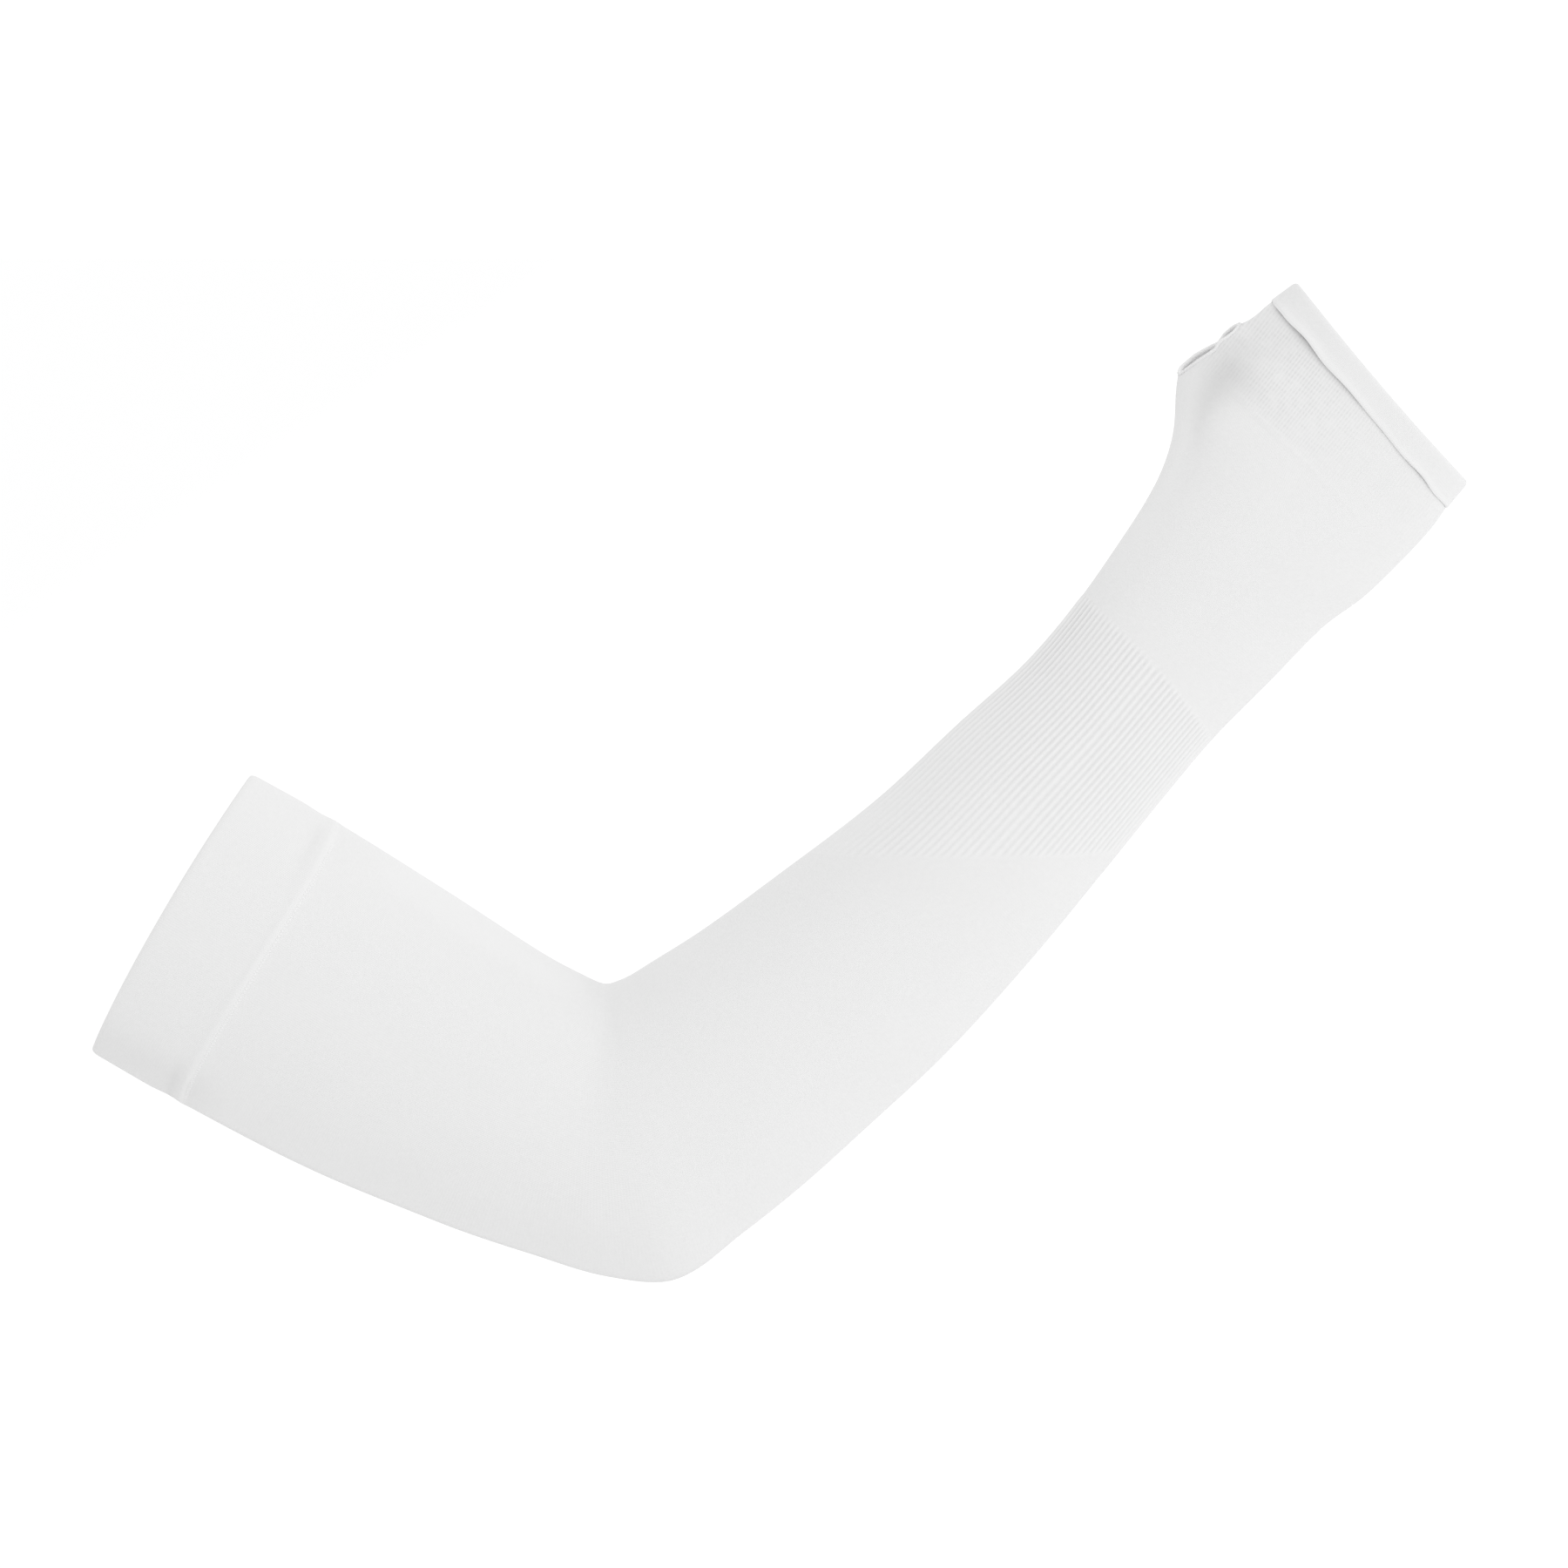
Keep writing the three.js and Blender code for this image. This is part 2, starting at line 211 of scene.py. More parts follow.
@dataclass
class SleeveForm:
    """The sleeve's smooth form: points by distance along it and angle round it, in millimetres.

    The angle is 0 at the inner side of the arm, 90 on the face that shows and 180 at the outer side.
    """

    fullness: float = 2.15
    knit_wall: float = 1.2
    opening_bow: float = 1.8
    hand_bow: float = 1.2
    seam_sway: float = 1.8
    seam_bow: float = 0.7
    rib_start_height: float = 19.0
    rib_end_past_wrist: float = 4.2
    rib_end_slant: float = 4.7
    rib_end_bow: float = 2.2
    halvings: int = 40
    stations: Array = field(init=False)
    columns: dict[str, Array] = field(init=False)

    def __post_init__(self) -> None:
        """Works out the distance along the middle line at each section."""
        names = ("x", "z", "lean", "breadth", "depth")
        self.columns = {name: np.array([getattr(row, name) for row in SECTIONS]) for name in names}
        steps = np.hypot(np.diff(self.columns["x"]), np.diff(self.columns["z"]))
        self.stations = np.concatenate([[0.0], np.cumsum(steps)])

    def station(self, name: str) -> float:
        """Gives the distance along the sleeve of a named section."""
        return float(self.stations[[row.name for row in SECTIONS].index(name)])

    def sized(self, column: str, along: Array) -> Array:
        """Reads one column of the section table on a smooth cubic through its rows.

        Args:
            column: The column's name.
            along: Distances along the sleeve.

        Returns:
            The column's value at each distance.
        """
        values = self.columns[column]
        last = len(values) - 1
        before = np.maximum(np.arange(last + 1) - 1, 0)
        after = np.minimum(np.arange(last + 1) + 1, last)
        slopes = (values[after] - values[before]) / (self.stations[after] - self.stations[before])
        row = np.clip(np.searchsorted(self.stations, along, side="right") - 1, 0, last - 1)
        span = self.stations[row + 1] - self.stations[row]
        part = (along - self.stations[row]) / span
        rise = values[row + 1] - values[row]
        leave = slopes[row] * span
        arrive = slopes[row + 1] * span
        cubic = leave + arrive - 2.0 * rise
        square = 3.0 * rise - 2.0 * leave - arrive
        return values[row] + part * (leave + part * (square + part * cubic))

    def fold_depth(self, along: Array, angle: Array) -> Array:
        """Adds up the depth of all the folds.

        Args:
            along: Distances along the sleeve.
            angle: Angles round it.

        Returns:
            The depth at each place.
        """
        turn = from_inner_side(angle)
        depth = np.zeros(np.broadcast(along, turn).shape)
        for fold in FOLDS:
            middle = self.station(fold.section) + fold.shift + fold.slant * (turn - fold.angle)
            far = ((along - middle) / fold.long) ** 2 + ((turn - fold.angle) / fold.wide) ** 2
            depth = depth + fold.depth * np.exp(-far)
        return depth

    def point(self, along: Array, angle: Array, raised: Union[float, Array]) -> Array:
        """Gives points of the sleeve.

        Args:
            along: Distances along the sleeve.
            angle: Angles round it, in degrees.
            raised: Heights over the knit's outer face.

        Returns:
            The points, with x, y and z in the last axis.
        """
        along, angle, raised = np.broadcast_arrays(along, angle, raised)
        turn = np.radians(angle)
        lean = np.radians(self.sized("lean", along))
        lift = raised - self.fold_depth(along, angle)
        power = 2.0 / self.fullness
        across = np.sign(np.cos(turn)) * np.abs(np.cos(turn)) ** power
        through = np.sign(np.sin(turn)) * np.abs(np.sin(turn)) ** power
        reach = across * (self.sized("breadth", along) / 2.0 + lift)
        x = self.sized("x", along) + reach * np.cos(lean)
        y = -through * (self.sized("depth", along) / 2.0 + lift)
        z = self.sized("z", along) + reach * np.sin(lean)
        return np.stack([x, y, z], axis=-1)

    def opening(self, angle: Array) -> Array:
        """Gives the upper opening's edge, bowed out on both faces."""
        return -self.opening_bow * np.sin(np.radians(angle)) ** 2

    def seam(self, angle: Array) -> Array:
        """Gives the line of the hem seam, which sways a little.

        Args:
            angle: Angles round the sleeve.

        Returns:
            The distance along it at each angle.
        """
        turn = np.radians(from_inner_side(angle))
        sway = self.seam_sway * np.sin(2.0 * turn)
        return self.station("hem seam") + sway - self.seam_bow * np.sin(turn) ** 2

    def rib_start(self, angle: Array) -> Array:
        """Finds where the sleeve rises through the level plane at which the ribs start.

        Args:
            angle: Angles round the sleeve.

        Returns:
            The distance along it at each angle.
        """
        low = np.full(np.shape(angle), self.station("below elbow"))
        high = np.full(np.shape(angle), self.station("above wrist"))
        for _ in range(self.halvings):
            middle = (low + high) / 2.0
            under = self.point(middle, angle, 0.0)[..., 2] < self.rib_start_height
            low = np.where(under, middle, low)
            high = np.where(under, high, middle)
        return low

    def rib_end(self, angle: Array) -> Array:
        """Gives the slanted edge past the wrist at which the ribs end.

        Args:
            angle: Angles round the sleeve.

        Returns:
            The distance along it at each angle.
        """
        turn = np.radians(angle)
        past = self.rib_end_past_wrist + self.rib_end_slant * np.cos(turn)
        return self.station("wrist") + past + self.rib_end_bow * np.sin(turn) ** 2

    def hem_line(self, angle: Array) -> Array:
        """Gives the line at which the hand's hem starts."""
        return np.full(np.shape(angle), self.station("hand hem line"))

    def hand_opening(self, angle: Array) -> Array:
        """Gives the fold of the hand's hem, bowed in on both faces."""
        return self.station("hand opening") - self.hand_bow * np.sin(np.radians(angle)) ** 2


@dataclass
class Rings:
    """Rings of points round the sleeve: distance along it and height over the knit, a row for each ring."""

    along: Array
    raised: Array

    @staticmethod
    def angles(sides: int) -> Array:
        """Gives the angles of a ring's points."""
        return TURN * np.arange(sides) / sides

    @classmethod
    def through(cls, sides: int, profile: Profile) -> "Rings":
        """Makes one ring for each entry of a profile.

        Args:
            sides: Points in a ring.
            profile: Pairs of an edge and a height, or a height for each angle.

        Returns:
            The rings, in the profile's order.
        """
        angle = cls.angles(sides)
        along = np.stack([edge(angle) for edge, _ in profile])
        heights = [high(angle) if callable(high) else np.full(sides, high) for _, high in profile]
        return cls(along, np.stack(heights))


def between(start: Edge, end: Edge, count: int) -> list[Edge]:
    """Spaces edges evenly from one edge to another, both kept.

    Args:
        start: The first edge.
        end: The last edge.
        count: Number of steps.

    Returns:
        The edges in order.
    """
    return [
        lambda angle, part=step / count: start(angle) * (1.0 - part) + end(angle) * part
        for step in range(count + 1)
    ]


def shifted(edge: Edge, distance: float) -> Edge:
    """Moves an edge along the sleeve."""
    return lambda angle: edge(angle) + distance


def rounded_fold(fold: Edge, radius: float, middle: float, half: float) -> Profile:
    """Rounds a hem's fold from one face to the other.

    Args:
        fold: The line of the fold.
        radius: How far along the sleeve the rounding reaches from it.
        middle: Height of the hem's middle.
        half: Half its thickness, negative where the rounding starts on the outer face.

    Returns:
        The rings between both faces.
    """
    turns = [math.pi * step / FOLD_STEPS for step in range(1, FOLD_STEPS)]
    return [
        (shifted(fold, radius * (1.0 - math.sin(turn))), middle - half * math.cos(turn)) for turn in turns
    ]


@dataclass(frozen=True)
class SeamRidge:
    """Shape of the cloth across the hem seam, from the raised welt over a soft ridge down to the tube.

    Sizes are in millimetres from the seam's line; the painted light and shade are shares of the cloth's
    range.
    The crest carries a painted highlight, and painted shade lies in the valleys behind both ends of the
    seam.
    The outer side has painted shade near it, and the upper arm's underside is painted darker at its very
    edge.
    """

    form: SleeveForm
    half: float = 1.2
    crest: float = 0.5
    spread: float = 1.9
    welt: float = 0.2
    crest_loss: float = 0.75
    crest_start: Ramp = Ramp(4.0, 34.0)
    crest_end: Ramp = Ramp(152.0, 174.0)
    crest_light: float = 0.27
    light_half: float = 0.9
    light_least: float = 0.3
    light_start: Ramp = Ramp(6.0, 30.0)
    valley_back: float = 4.2
    valley_width: float = 1.5
    valley_shade: float = 0.2
    inner_valley: Window = Window(Ramp(12.0, 22.0), Ramp(36.0, 66.0))
    inner_share: float = 0.6
    outer_shade: float = 0.2
    outer_side: Ramp = Ramp(126.0, 146.0)
    outer_past: Ramp = Ramp(2.0, 16.0)
    edge_shade: float = 0.28
    edge_side: Ramp = Ramp(157.0, 170.0)
    edge_past: Ramp = Ramp(150.0, 190.0)

    def height(self, edge: Edge) -> Edge:
        """Gives the cloth's height along an edge near the seam.

        Args:
            edge: The edge.

        Returns:
            The height for each angle.
        """
        step_down = Ramp(-self.spread, self.spread)

        def high(angle: Array) -> Array:
            """Adds the crest, lower at both ends, to the step from welt to tube.

            Args:
                angle: Angles round the sleeve.

            Returns:
                The height at each angle.
            """
            past = edge(angle) - self.form.seam(angle)
            turn = from_inner_side(angle)
            start = 1.0 - self.crest_loss * (1.0 - self.crest_start(turn))
            end = 1.0 - self.crest_loss * self.crest_end(turn)
            crest = self.crest * start * end * bell(past / self.spread)
            return self.welt * (1.0 - step_down(past)) + crest

        return high

    def shade(self, rings: Rings) -> Array:
        """Paints a highlight on the crest, and shade in the valleys, on the outer side and at the
        underside's edge.

        Args:
            rings: Rings of a piece near the seam.

        Returns:
            The painted shade at each point, negative where a highlight is painted.
        """
        angle = Rings.angles(rings.along.shape[1])
        turn = from_inner_side(angle)
        past = rings.along - self.form.seam(angle)
        light = self.light_least + (1.0 - self.light_least) * self.light_start(turn)
        light = self.crest_light * light * bell(past / self.light_half)
        outer_side = self.outer_side(turn)
        ends = self.inner_share * self.inner_valley(turn) + outer_side
        valley = self.valley_shade * ends * bell((past + self.valley_back) / self.valley_width)
        outer = self.outer_shade * outer_side * (1.0 - self.outer_past(past))
        under = self.edge_shade * self.edge_side(turn) * (1.0 - self.edge_past(rings.along))
        return valley + np.maximum(outer, under) - light


@dataclass(frozen=True)
class HemGap:
    """How far the hand hem's free edge stands off the cover, which also sets the painted shadow under it:
    well near the thumb, little on the palm.
    """

    turns: tuple[float, ...] = (0.0, 16.0, 26.0, 60.0, 76.0, 94.0, 106.0, 116.0, 138.0, 156.0, 180.0)
    shares: tuple[float, ...] = (0.0, 0.3, 1.0, 1.0, 0.7, 0.2, 0.25, 0.4, 0.4, 0.15, 0.0)

    def share(self, angle: Array) -> Array:
        """Gives the share of the full gap at each angle."""
        return np.interp(from_inner_side(angle), self.turns, self.shares)


def signed_volume(points: Array, faces: Array) -> float:
    """Measures the volume inside a closed mesh of quads.

    Args:
        points: Its points.
        faces: The four points of each face, by number.

    Returns:
        The volume, negative where the faces point inwards.
    """
    a, b, c, d = (points[faces[:, corner]] for corner in range(4))
    halves = np.einsum("ij,ij->i", a, np.cross(b, c)) + np.einsum("ij,ij->i", a, np.cross(c, d))
    return float(halves.sum() / 6.0)


def finish_shading(mesh: bpy.types.Mesh, crease: float) -> None:
    """Shades a mesh smooth and keeps its sharp edges.

    Args:
        mesh: The mesh.
        crease: Edges that turn more than this many degrees stay sharp.
    """
    mesh.update()
    mesh.validate()
    mesh.shade_smooth()
    mesh.set_sharp_from_angle(angle=math.radians(crease))


def at_corners(values: Array) -> Array:
    """Gives the values at the four corners of each face between rings of points."""
    ahead = np.roll(values, -1, axis=0)
    return np.stack([values, np.roll(values, -1, axis=1), np.roll(ahead, -1, axis=1), ahead], axis=-1)


def ring_mesh(
    name: str,
    points: Array,
    layout: Array,
    marks: dict[str, Array],
    crease: float,
) -> bpy.types.Mesh:
    """Makes a mesh through rings of points, closed round each ring and from the last ring to the first.

    Args:
        name: Name of the mesh.
        points: Points of each ring, in millimetres.
        layout: Stitch coordinates at the corners of each face.
        marks: Point attributes by name, one value for each point of each ring.
        crease: Edges that turn more than this many degrees stay sharp.

    Returns:
        The mesh, in metres.
    """
    count, sides = points.shape[:2]
    faces = at_corners(np.arange(count * sides).reshape(count, sides)).reshape(-1, 4)
    flat_points = points.reshape(-1, 3)
    layout = layout.reshape(-1, 4, 2)
    if signed_volume(flat_points, faces) < 0.0:
        faces = faces[:, ::-1]
        layout = layout[:, ::-1]
    mesh = bpy.data.meshes.new(name)
    mesh.from_pydata((flat_points * MM).tolist(), [], faces.tolist())
    layer = mesh.uv_layers.new(name=STITCH_UV)
    layer.data.foreach_set("uv", layout.astype(np.float32).ravel())
    for mark, values in marks.items():
        attribute = mesh.attributes.new(mark, "FLOAT", "POINT")
        attribute.data.foreach_set("value", values.astype(np.float32).ravel())
    finish_shading(mesh, crease)
    return mesh


def place(name: str, mesh: bpy.types.Mesh) -> Piece:
    """Puts a mesh into the scene as an object at the origin.

    Args:
        name: Name of the object.
        mesh: The mesh.

    Returns:
        The object.
    """
    piece = bpy.data.objects.new(name, mesh)
    bpy.context.scene.collection.objects.link(piece)
    return piece


@dataclass
class WallLoft:
    """Lofts a closed wall of cloth through rings and lays out its knit.

    There are so many columns of stitches, wales, round the sleeve, and a course is one stitch high.
    """

    form: SleeveForm
    wales: int = 264
    course: float = 0.75
    crease: float = 60.0
    inner_from: Ramp = Ramp(0.8, 1.2)

    def piece(self, name: str, rings: Rings, marks: dict[str, Array]) -> Piece:
        """Makes the wall.

        Args:
            name: Name of the piece.
            rings: The rings to loft through.
            marks: Point attributes by name, one value for each point of each ring.

        Returns:
            The piece, not yet dressed.
        """
        sides = rings.along.shape[1]
        angle = np.broadcast_to(Rings.angles(sides), rings.along.shape)
        points = self.form.point(rings.along, angle, rings.raised)
        side = np.arange(sides)
        wale = np.stack([side, side + 1, side + 1, side], axis=-1) * (self.wales / sides)
        course = at_corners(rings.along / self.course)
        layout = np.stack([np.broadcast_to(wale, course.shape), course], axis=-1)
        # Inner faces are marked for the material's painted glow.
        inner_face = {INNER_MARK: self.inner_from(-rings.raised)}
        return place(name, ring_mesh(name, points, layout, inner_face | marks, self.crease))


def settle(piece: Piece, material: Material, node: Union[Node, None], slot: Slot) -> None:
    """Gives a finished piece its material and body, hides the solid that it stands for, and reports it.

    Args:
        piece: The piece.
        material: Its material.
        node: The solid that it stands for, if any.
        slot: The record's material slot; not used.
    """
    piece.data.materials.clear()
    piece.data.materials.append(material)
    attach(piece, "root")
    if node is not None:
        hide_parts(node.value)
    LOG.info("%s: %d faces", piece.name, len(piece.data.polygons))


@dataclass(frozen=True)
class Cut:
    """What a sheet was knitted to, in metres, and the solids it joins; area where it isn't a rectangle."""

    width: float
    length: float
    joins: tuple[Node, ...]
    area: Union[float, None] = None

    def declare(self, piece: Piece, trims: Sequence[Piece] = ()) -> None:
        """Reads the names of the solids that the sheet joins, and does nothing else.

        Args:
            piece: The sheet; not used.
            trims: Pieces that are sewn to it; not used.
        """
        [node.value for node in self.joins]


class Value:
    """A number socket of a shader tree that takes part in Python sums."""

    def __init__(self, graph: "Graph", socket: Socket) -> None:
        """Keeps the tree and the socket."""
        self.graph = graph
        self.socket = socket

    def _math(self, operation: str, *numbers: Operand, clamp: bool = False) -> "Value":
        """Adds one Math node and gives its result."""
        settings = {"operation": operation, "use_clamp": clamp}
        return self.graph.value("ShaderNodeMath", settings, dict(enumerate(numbers)))

    def __add__(self, other: Operand) -> "Value":
        """Adds."""
        return self._math("ADD", self, other)

    __radd__ = __add__

    def __mul__(self, other: Operand) -> "Value":
        """Multiplies."""
        return self._math("MULTIPLY", self, other)

    __rmul__ = __mul__

    def __sub__(self, other: Operand) -> "Value":
        """Subtracts."""
        return self._math("SUBTRACT", self, other)

    def __rsub__(self, other: Operand) -> "Value":
        """Subtracts this from a number."""
        return self._math("SUBTRACT", other, self)

    def __abs__(self) -> "Value":
        """Drops the sign."""
        return self._math("ABSOLUTE", self)

    def sine(self) -> "Value":
        """Takes the sine of an angle in radians."""
        return self._math("SINE", self)

    def fraction(self) -> "Value":
        """Keeps what is left over a whole number."""
        return self._math("FRACT", self)

    def limited(self) -> "Value":
        """Keeps the value between 0 and 1."""
        return self._math("ADD", self, 0.0, clamp=True)


class Tree:
    """A node tree, with one way to add a node."""

    def __init__(self, tree: bpy.types.NodeTree) -> None:
        """Keeps the tree."""
        self.tree = tree

    def node(self, kind: str, settings: dict[str, object], inputs: dict) -> bpy.types.Node:
        """Adds a node.

        Args:
            kind: The node's type.
            settings: Its properties, set before its sockets.
            inputs: Values or links by socket name or number.

        Returns:
            The node.
        """
        node = self.tree.nodes.new(kind)
        for name, setting in settings.items():
            setattr(node, name, setting)
        for name, given in inputs.items():
            link = given.socket if isinstance(given, Value) else given
            if isinstance(link, Socket):
                self.tree.links.new(link, node.inputs[name])
            else:
                node.inputs[name].default_value = given
        return node


class Graph(Tree):
    """A shader tree."""

    def __init__(self, owner: Union[Material, bpy.types.World]) -> None:
        """Empties the tree of its owner.

        Args:
            owner: A material or the sky.
        """
        owner.use_nodes = True
        super().__init__(owner.node_tree)
        self.tree.nodes.clear()

    def value(self, kind: str, settings: dict[str, object], inputs: dict, output: str = "") -> Value:
        """Adds a node and takes one of its outputs, or else the first, as a number."""
        return Value(self, self.node(kind, settings, inputs).outputs[output or 0])

    def parts(self, vector: Socket) -> list[Value]:
        """Splits a vector into its x, y and z."""
        split = self.node("ShaderNodeSeparateXYZ", {}, {"Vector": vector})
        return [Value(self, socket) for socket in split.outputs]

    def place(self, output: str = "Object") -> Socket:
        """Gives the place on the piece, in metres, or the direction in the sky."""
        return self.node("ShaderNodeTexCoord", {}, {}).outputs[output]

    def mark(self, name: str) -> Value:
        """Reads a point attribute of the piece."""
        settings = {"attribute_name": name, "attribute_type": "GEOMETRY"}
        return self.value("ShaderNodeAttribute", settings, {}, "Fac")

    def noise(self, at: Socket, scale: float, detail: float, roughness: float) -> Value:
        """Adds a noise texture."""
        inputs = {"Vector": at, "Scale": scale, "Detail": detail, "Roughness": roughness}
        return self.value("ShaderNodeTexNoise", {}, inputs)

    def grey(self, factor: Value, dark: float, light: float) -> Socket:
        """Mixes two greys."""
        inputs = {"Factor": factor, MIX_DARK: (dark,) * 3 + (1.0,), MIX_LIGHT: (light,) * 3 + (1.0,)}
        return self.node("ShaderNodeMix", {"data_type": "RGBA"}, inputs).outputs[MIX_RESULT]

    def relief(self, height: Value, distance: float, strength: float) -> Socket:
        """Turns a height into a bumped normal."""
        inputs = {"Strength": strength, "Distance": distance, "Height": height}
        return self.node("ShaderNodeBump", {}, inputs).outputs["Normal"]

    def surface(self, inputs: dict) -> None:
        """Ends the tree of a material with a Principled shader."""
        shader = self.node("ShaderNodeBsdfPrincipled", {}, inputs)
        self.node("ShaderNodeOutputMaterial", {}, {"Surface": shader.outputs["BSDF"]})


@dataclass(frozen=True)
class KnitFinish:
    """White knitted cloth: rows of looped stitches with a little fuzz.

    Attributes:
        strand: Colour of the yarn on top of a stitch.
        gap: Colour of the deepest shade between stitches.
        relief: How much of that range the plain stitches use.
        loop_height: Height of the stitches, in metres.
        mottle: How much the colour wanders over the cloth.
        grain: How much it differs from one stitch to the next.
        glow: Emission on the cloth's inner face, painted light standing in for light coming through the
            thin cloth.
        ribbed: Whether the cloth has grooves between ribs, with painted shade in them of a set strength.
        shaded: Whether the cloth has marked places with painted shade, and painted highlights where the
            mark is negative.
        open_knit: Whether part of the cloth is an open mesh, whose holes get painted shade of a set
            strength.
        mesh_lean: Direction across the columns of holes, in degrees.
        column_pitch: Distance from one column of holes to the next, in metres.
        row_pitch: Distance from one row of holes to the next, in metres.
        patch_scale: Fineness of the patches in which the mesh shows more or less, per metre.
    """

    name: str
    strand: float
    gap: float = 0.56
    relief: float = 0.17
    roughness: float = 0.88
    roughness_swing: float = 0.08
    loop_height: float = 0.00022
    loop_strength: float = 0.3
    mottle: float = 0.012
    mottle_scale: float = 55.0
    grain: float = 0.03
    grain_scale: float = 750.0
    fuzz: float = 0.2
    fuzz_scale: float = 1400.0
    glow: float = 0.075
    ribbed: bool = False
    groove_shade: float = 0.26
    shaded: bool = False
    open_knit: bool = False
    hole_shade: float = 0.42
    mesh_shade: float = 0.89
    mesh_lean: float = 142.0
    column_pitch: float = 0.00106
    row_pitch: float = 0.00167
    patch_scale: float = 260.0
    patch_gain: float = 2.2
    patch_floor: float = 0.3

    def material(self) -> Material:
        """Builds the material on the piece's stitch layout and its object coordinates.

        Returns:
            The material.
        """
        made = bpy.data.materials.new(self.name)
        graph = Graph(made)
        at = graph.place()
        fuzz = graph.noise(at, self.fuzz_scale, detail=2.0, roughness=0.6)
        height = self._loops(graph) * (1.0 - self.fuzz) + fuzz * self.fuzz
        # Painted shade between the stitches, deeper where their loops dip.
        shade = height * self.relief + (1.0 - self.relief)
        if self.ribbed:
            # Painted shade in the rib grooves.
            shade = shade * (graph.mark(CREST_MARK) * self.groove_shade + (1.0 - self.groove_shade))
        if self.open_knit:
            open_share = graph.mark(MESH_MARK)
            patch = graph.noise(at, self.patch_scale, detail=1.0, roughness=0.5)
            shown = (patch * self.patch_gain - self.patch_floor).limited()
            mesh_height = 1.0 - self._holes(graph, at) * shown
            # Painted shade in the holes; the whole mesh is painted a little darker as well.
            mesh_shade = mesh_height * self.hole_shade + (self.mesh_shade - self.hole_shade)
            height = height * (1.0 - open_share) + mesh_height * open_share
            shade = shade * (1.0 - open_share) + mesh_shade * open_share
        if self.shaded:
            # Painted shade, or a painted highlight where the mark is negative.
            shade = shade * (1.0 - graph.mark(SHADE_MARK))
        span = self.strand - self.gap
        cloud = graph.noise(at, self.mottle_scale, detail=3.0, roughness=0.55) - 0.5
        grain = graph.noise(at, self.grain_scale, detail=1.0, roughness=0.5) - 0.5
        shade = (shade + (cloud * (self.mottle / span) + grain * (self.grain / span))).limited()
        graph.surface({
            "Base Color": graph.grey(shade, self.gap, self.strand),
            "Roughness": (fuzz - 0.5) * self.roughness_swing + self.roughness,
            "Normal": graph.relief(height, self.loop_height, self.loop_strength),
            # Painted glow on inner faces, standing in for light through the thin knit.
            "Emission Color": graph.mark(INNER_MARK) * self.glow,
            "Emission Strength": 1.0,
            "Specular IOR Level": 0.15,
            "Sheen Weight": 0.08,
            "Sheen Roughness": 0.6,
        })
        return made

    def _loops(self, graph: Graph) -> Value:
        """Gives the height of the plain stitches, two leaning legs in each.

        Args:
            graph: The material's tree.

        Returns:
            The height from 0 to 1.
        """
        layout = graph.node("ShaderNodeUVMap", {"uv_map": STITCH_UV}, {})
        wale, course, _ = graph.parts(layout.outputs["UV"])
        leg = abs((wale * math.tau).sine())
        slope = abs(wale.fraction() - 0.5)
        loop = ((course + slope) * math.tau).sine() * 0.5 + 0.5
        return leg * (loop * 0.5 + 0.5)

    def _holes(self, graph: Graph, at: Socket) -> Value:
        """Gives the small holes of the open knit, in columns along the hand.

        Args:
            graph: The material's tree.
            at: Place on the piece, in metres.

        Returns:
            The holes as a height, 1 in the middle of a hole.
        """
        x, _, z = graph.parts(at)
        lean = math.radians(self.mesh_lean)
        across = x * math.cos(lean) + z * math.sin(lean)
        along = x * math.sin(lean) - z * math.cos(lean)
        columns = (across * (math.tau / self.column_pitch)).sine() * 0.5 + 0.5
        rows = (along * (math.tau / self.row_pitch)).sine() * 0.25 + 0.75
        return columns * rows


@dataclass(frozen=True)
class ThreadFinish:
    """White sewing thread with a fine twist."""

    name: str
    light: float
    dark: float
    roughness: float = 0.8
    roughness_swing: float = 0.06
    twist_scale: float = 900.0
    twist_height: float = 0.00008
    twist_strength: float = 0.3

    def material(self) -> Material:
        """Builds the material on object coordinates.

        Returns:
            The material.
        """
        made = bpy.data.materials.new(self.name)
        graph = Graph(made)
        settings = {"wave_type": "BANDS", "bands_direction": "DIAGONAL"}
        inputs = {"Vector": graph.place(), "Scale": self.twist_scale, "Distortion": 2.0, "Detail": 1.0}
        twist = graph.value("ShaderNodeTexWave", settings, inputs, "Fac")
        graph.surface({
            "Base Color": graph.grey(twist, self.dark, self.light),
            "Roughness": twist * self.roughness_swing + self.roughness,
            "Normal": graph.relief(twist, self.twist_height, self.twist_strength),
            "Specular IOR Level": 0.2,
            "Sheen Weight": 0.05,
        })
        return made


@dataclass(frozen=True)
class Finishes:
    """The materials of the sleeve."""

    knit: Material
    hand_knit: Material
    welt: Material
    seam: Material
    rib: Material
    thread: Material

    @classmethod
    def made(cls) -> "Finishes":
        """Builds every material once."""
        return cls(
            knit=KnitFinish("plain knit", CLOTH_WHITE, shaded=True).material(),
            hand_knit=KnitFinish("hand knit", CLOTH_WHITE, shaded=True, open_knit=True).material(),
            welt=KnitFinish("welt knit", CLOTH_WHITE, shaded=True).material(),
            seam=KnitFinish("seam knit", CLOTH_WHITE, shaded=True).material(),
            rib=KnitFinish("rib knit", 0.774, ribbed=True, loop_strength=0.25).material(),
            thread=ThreadFinish("seam thread", 0.785, 0.745).material(),
        )


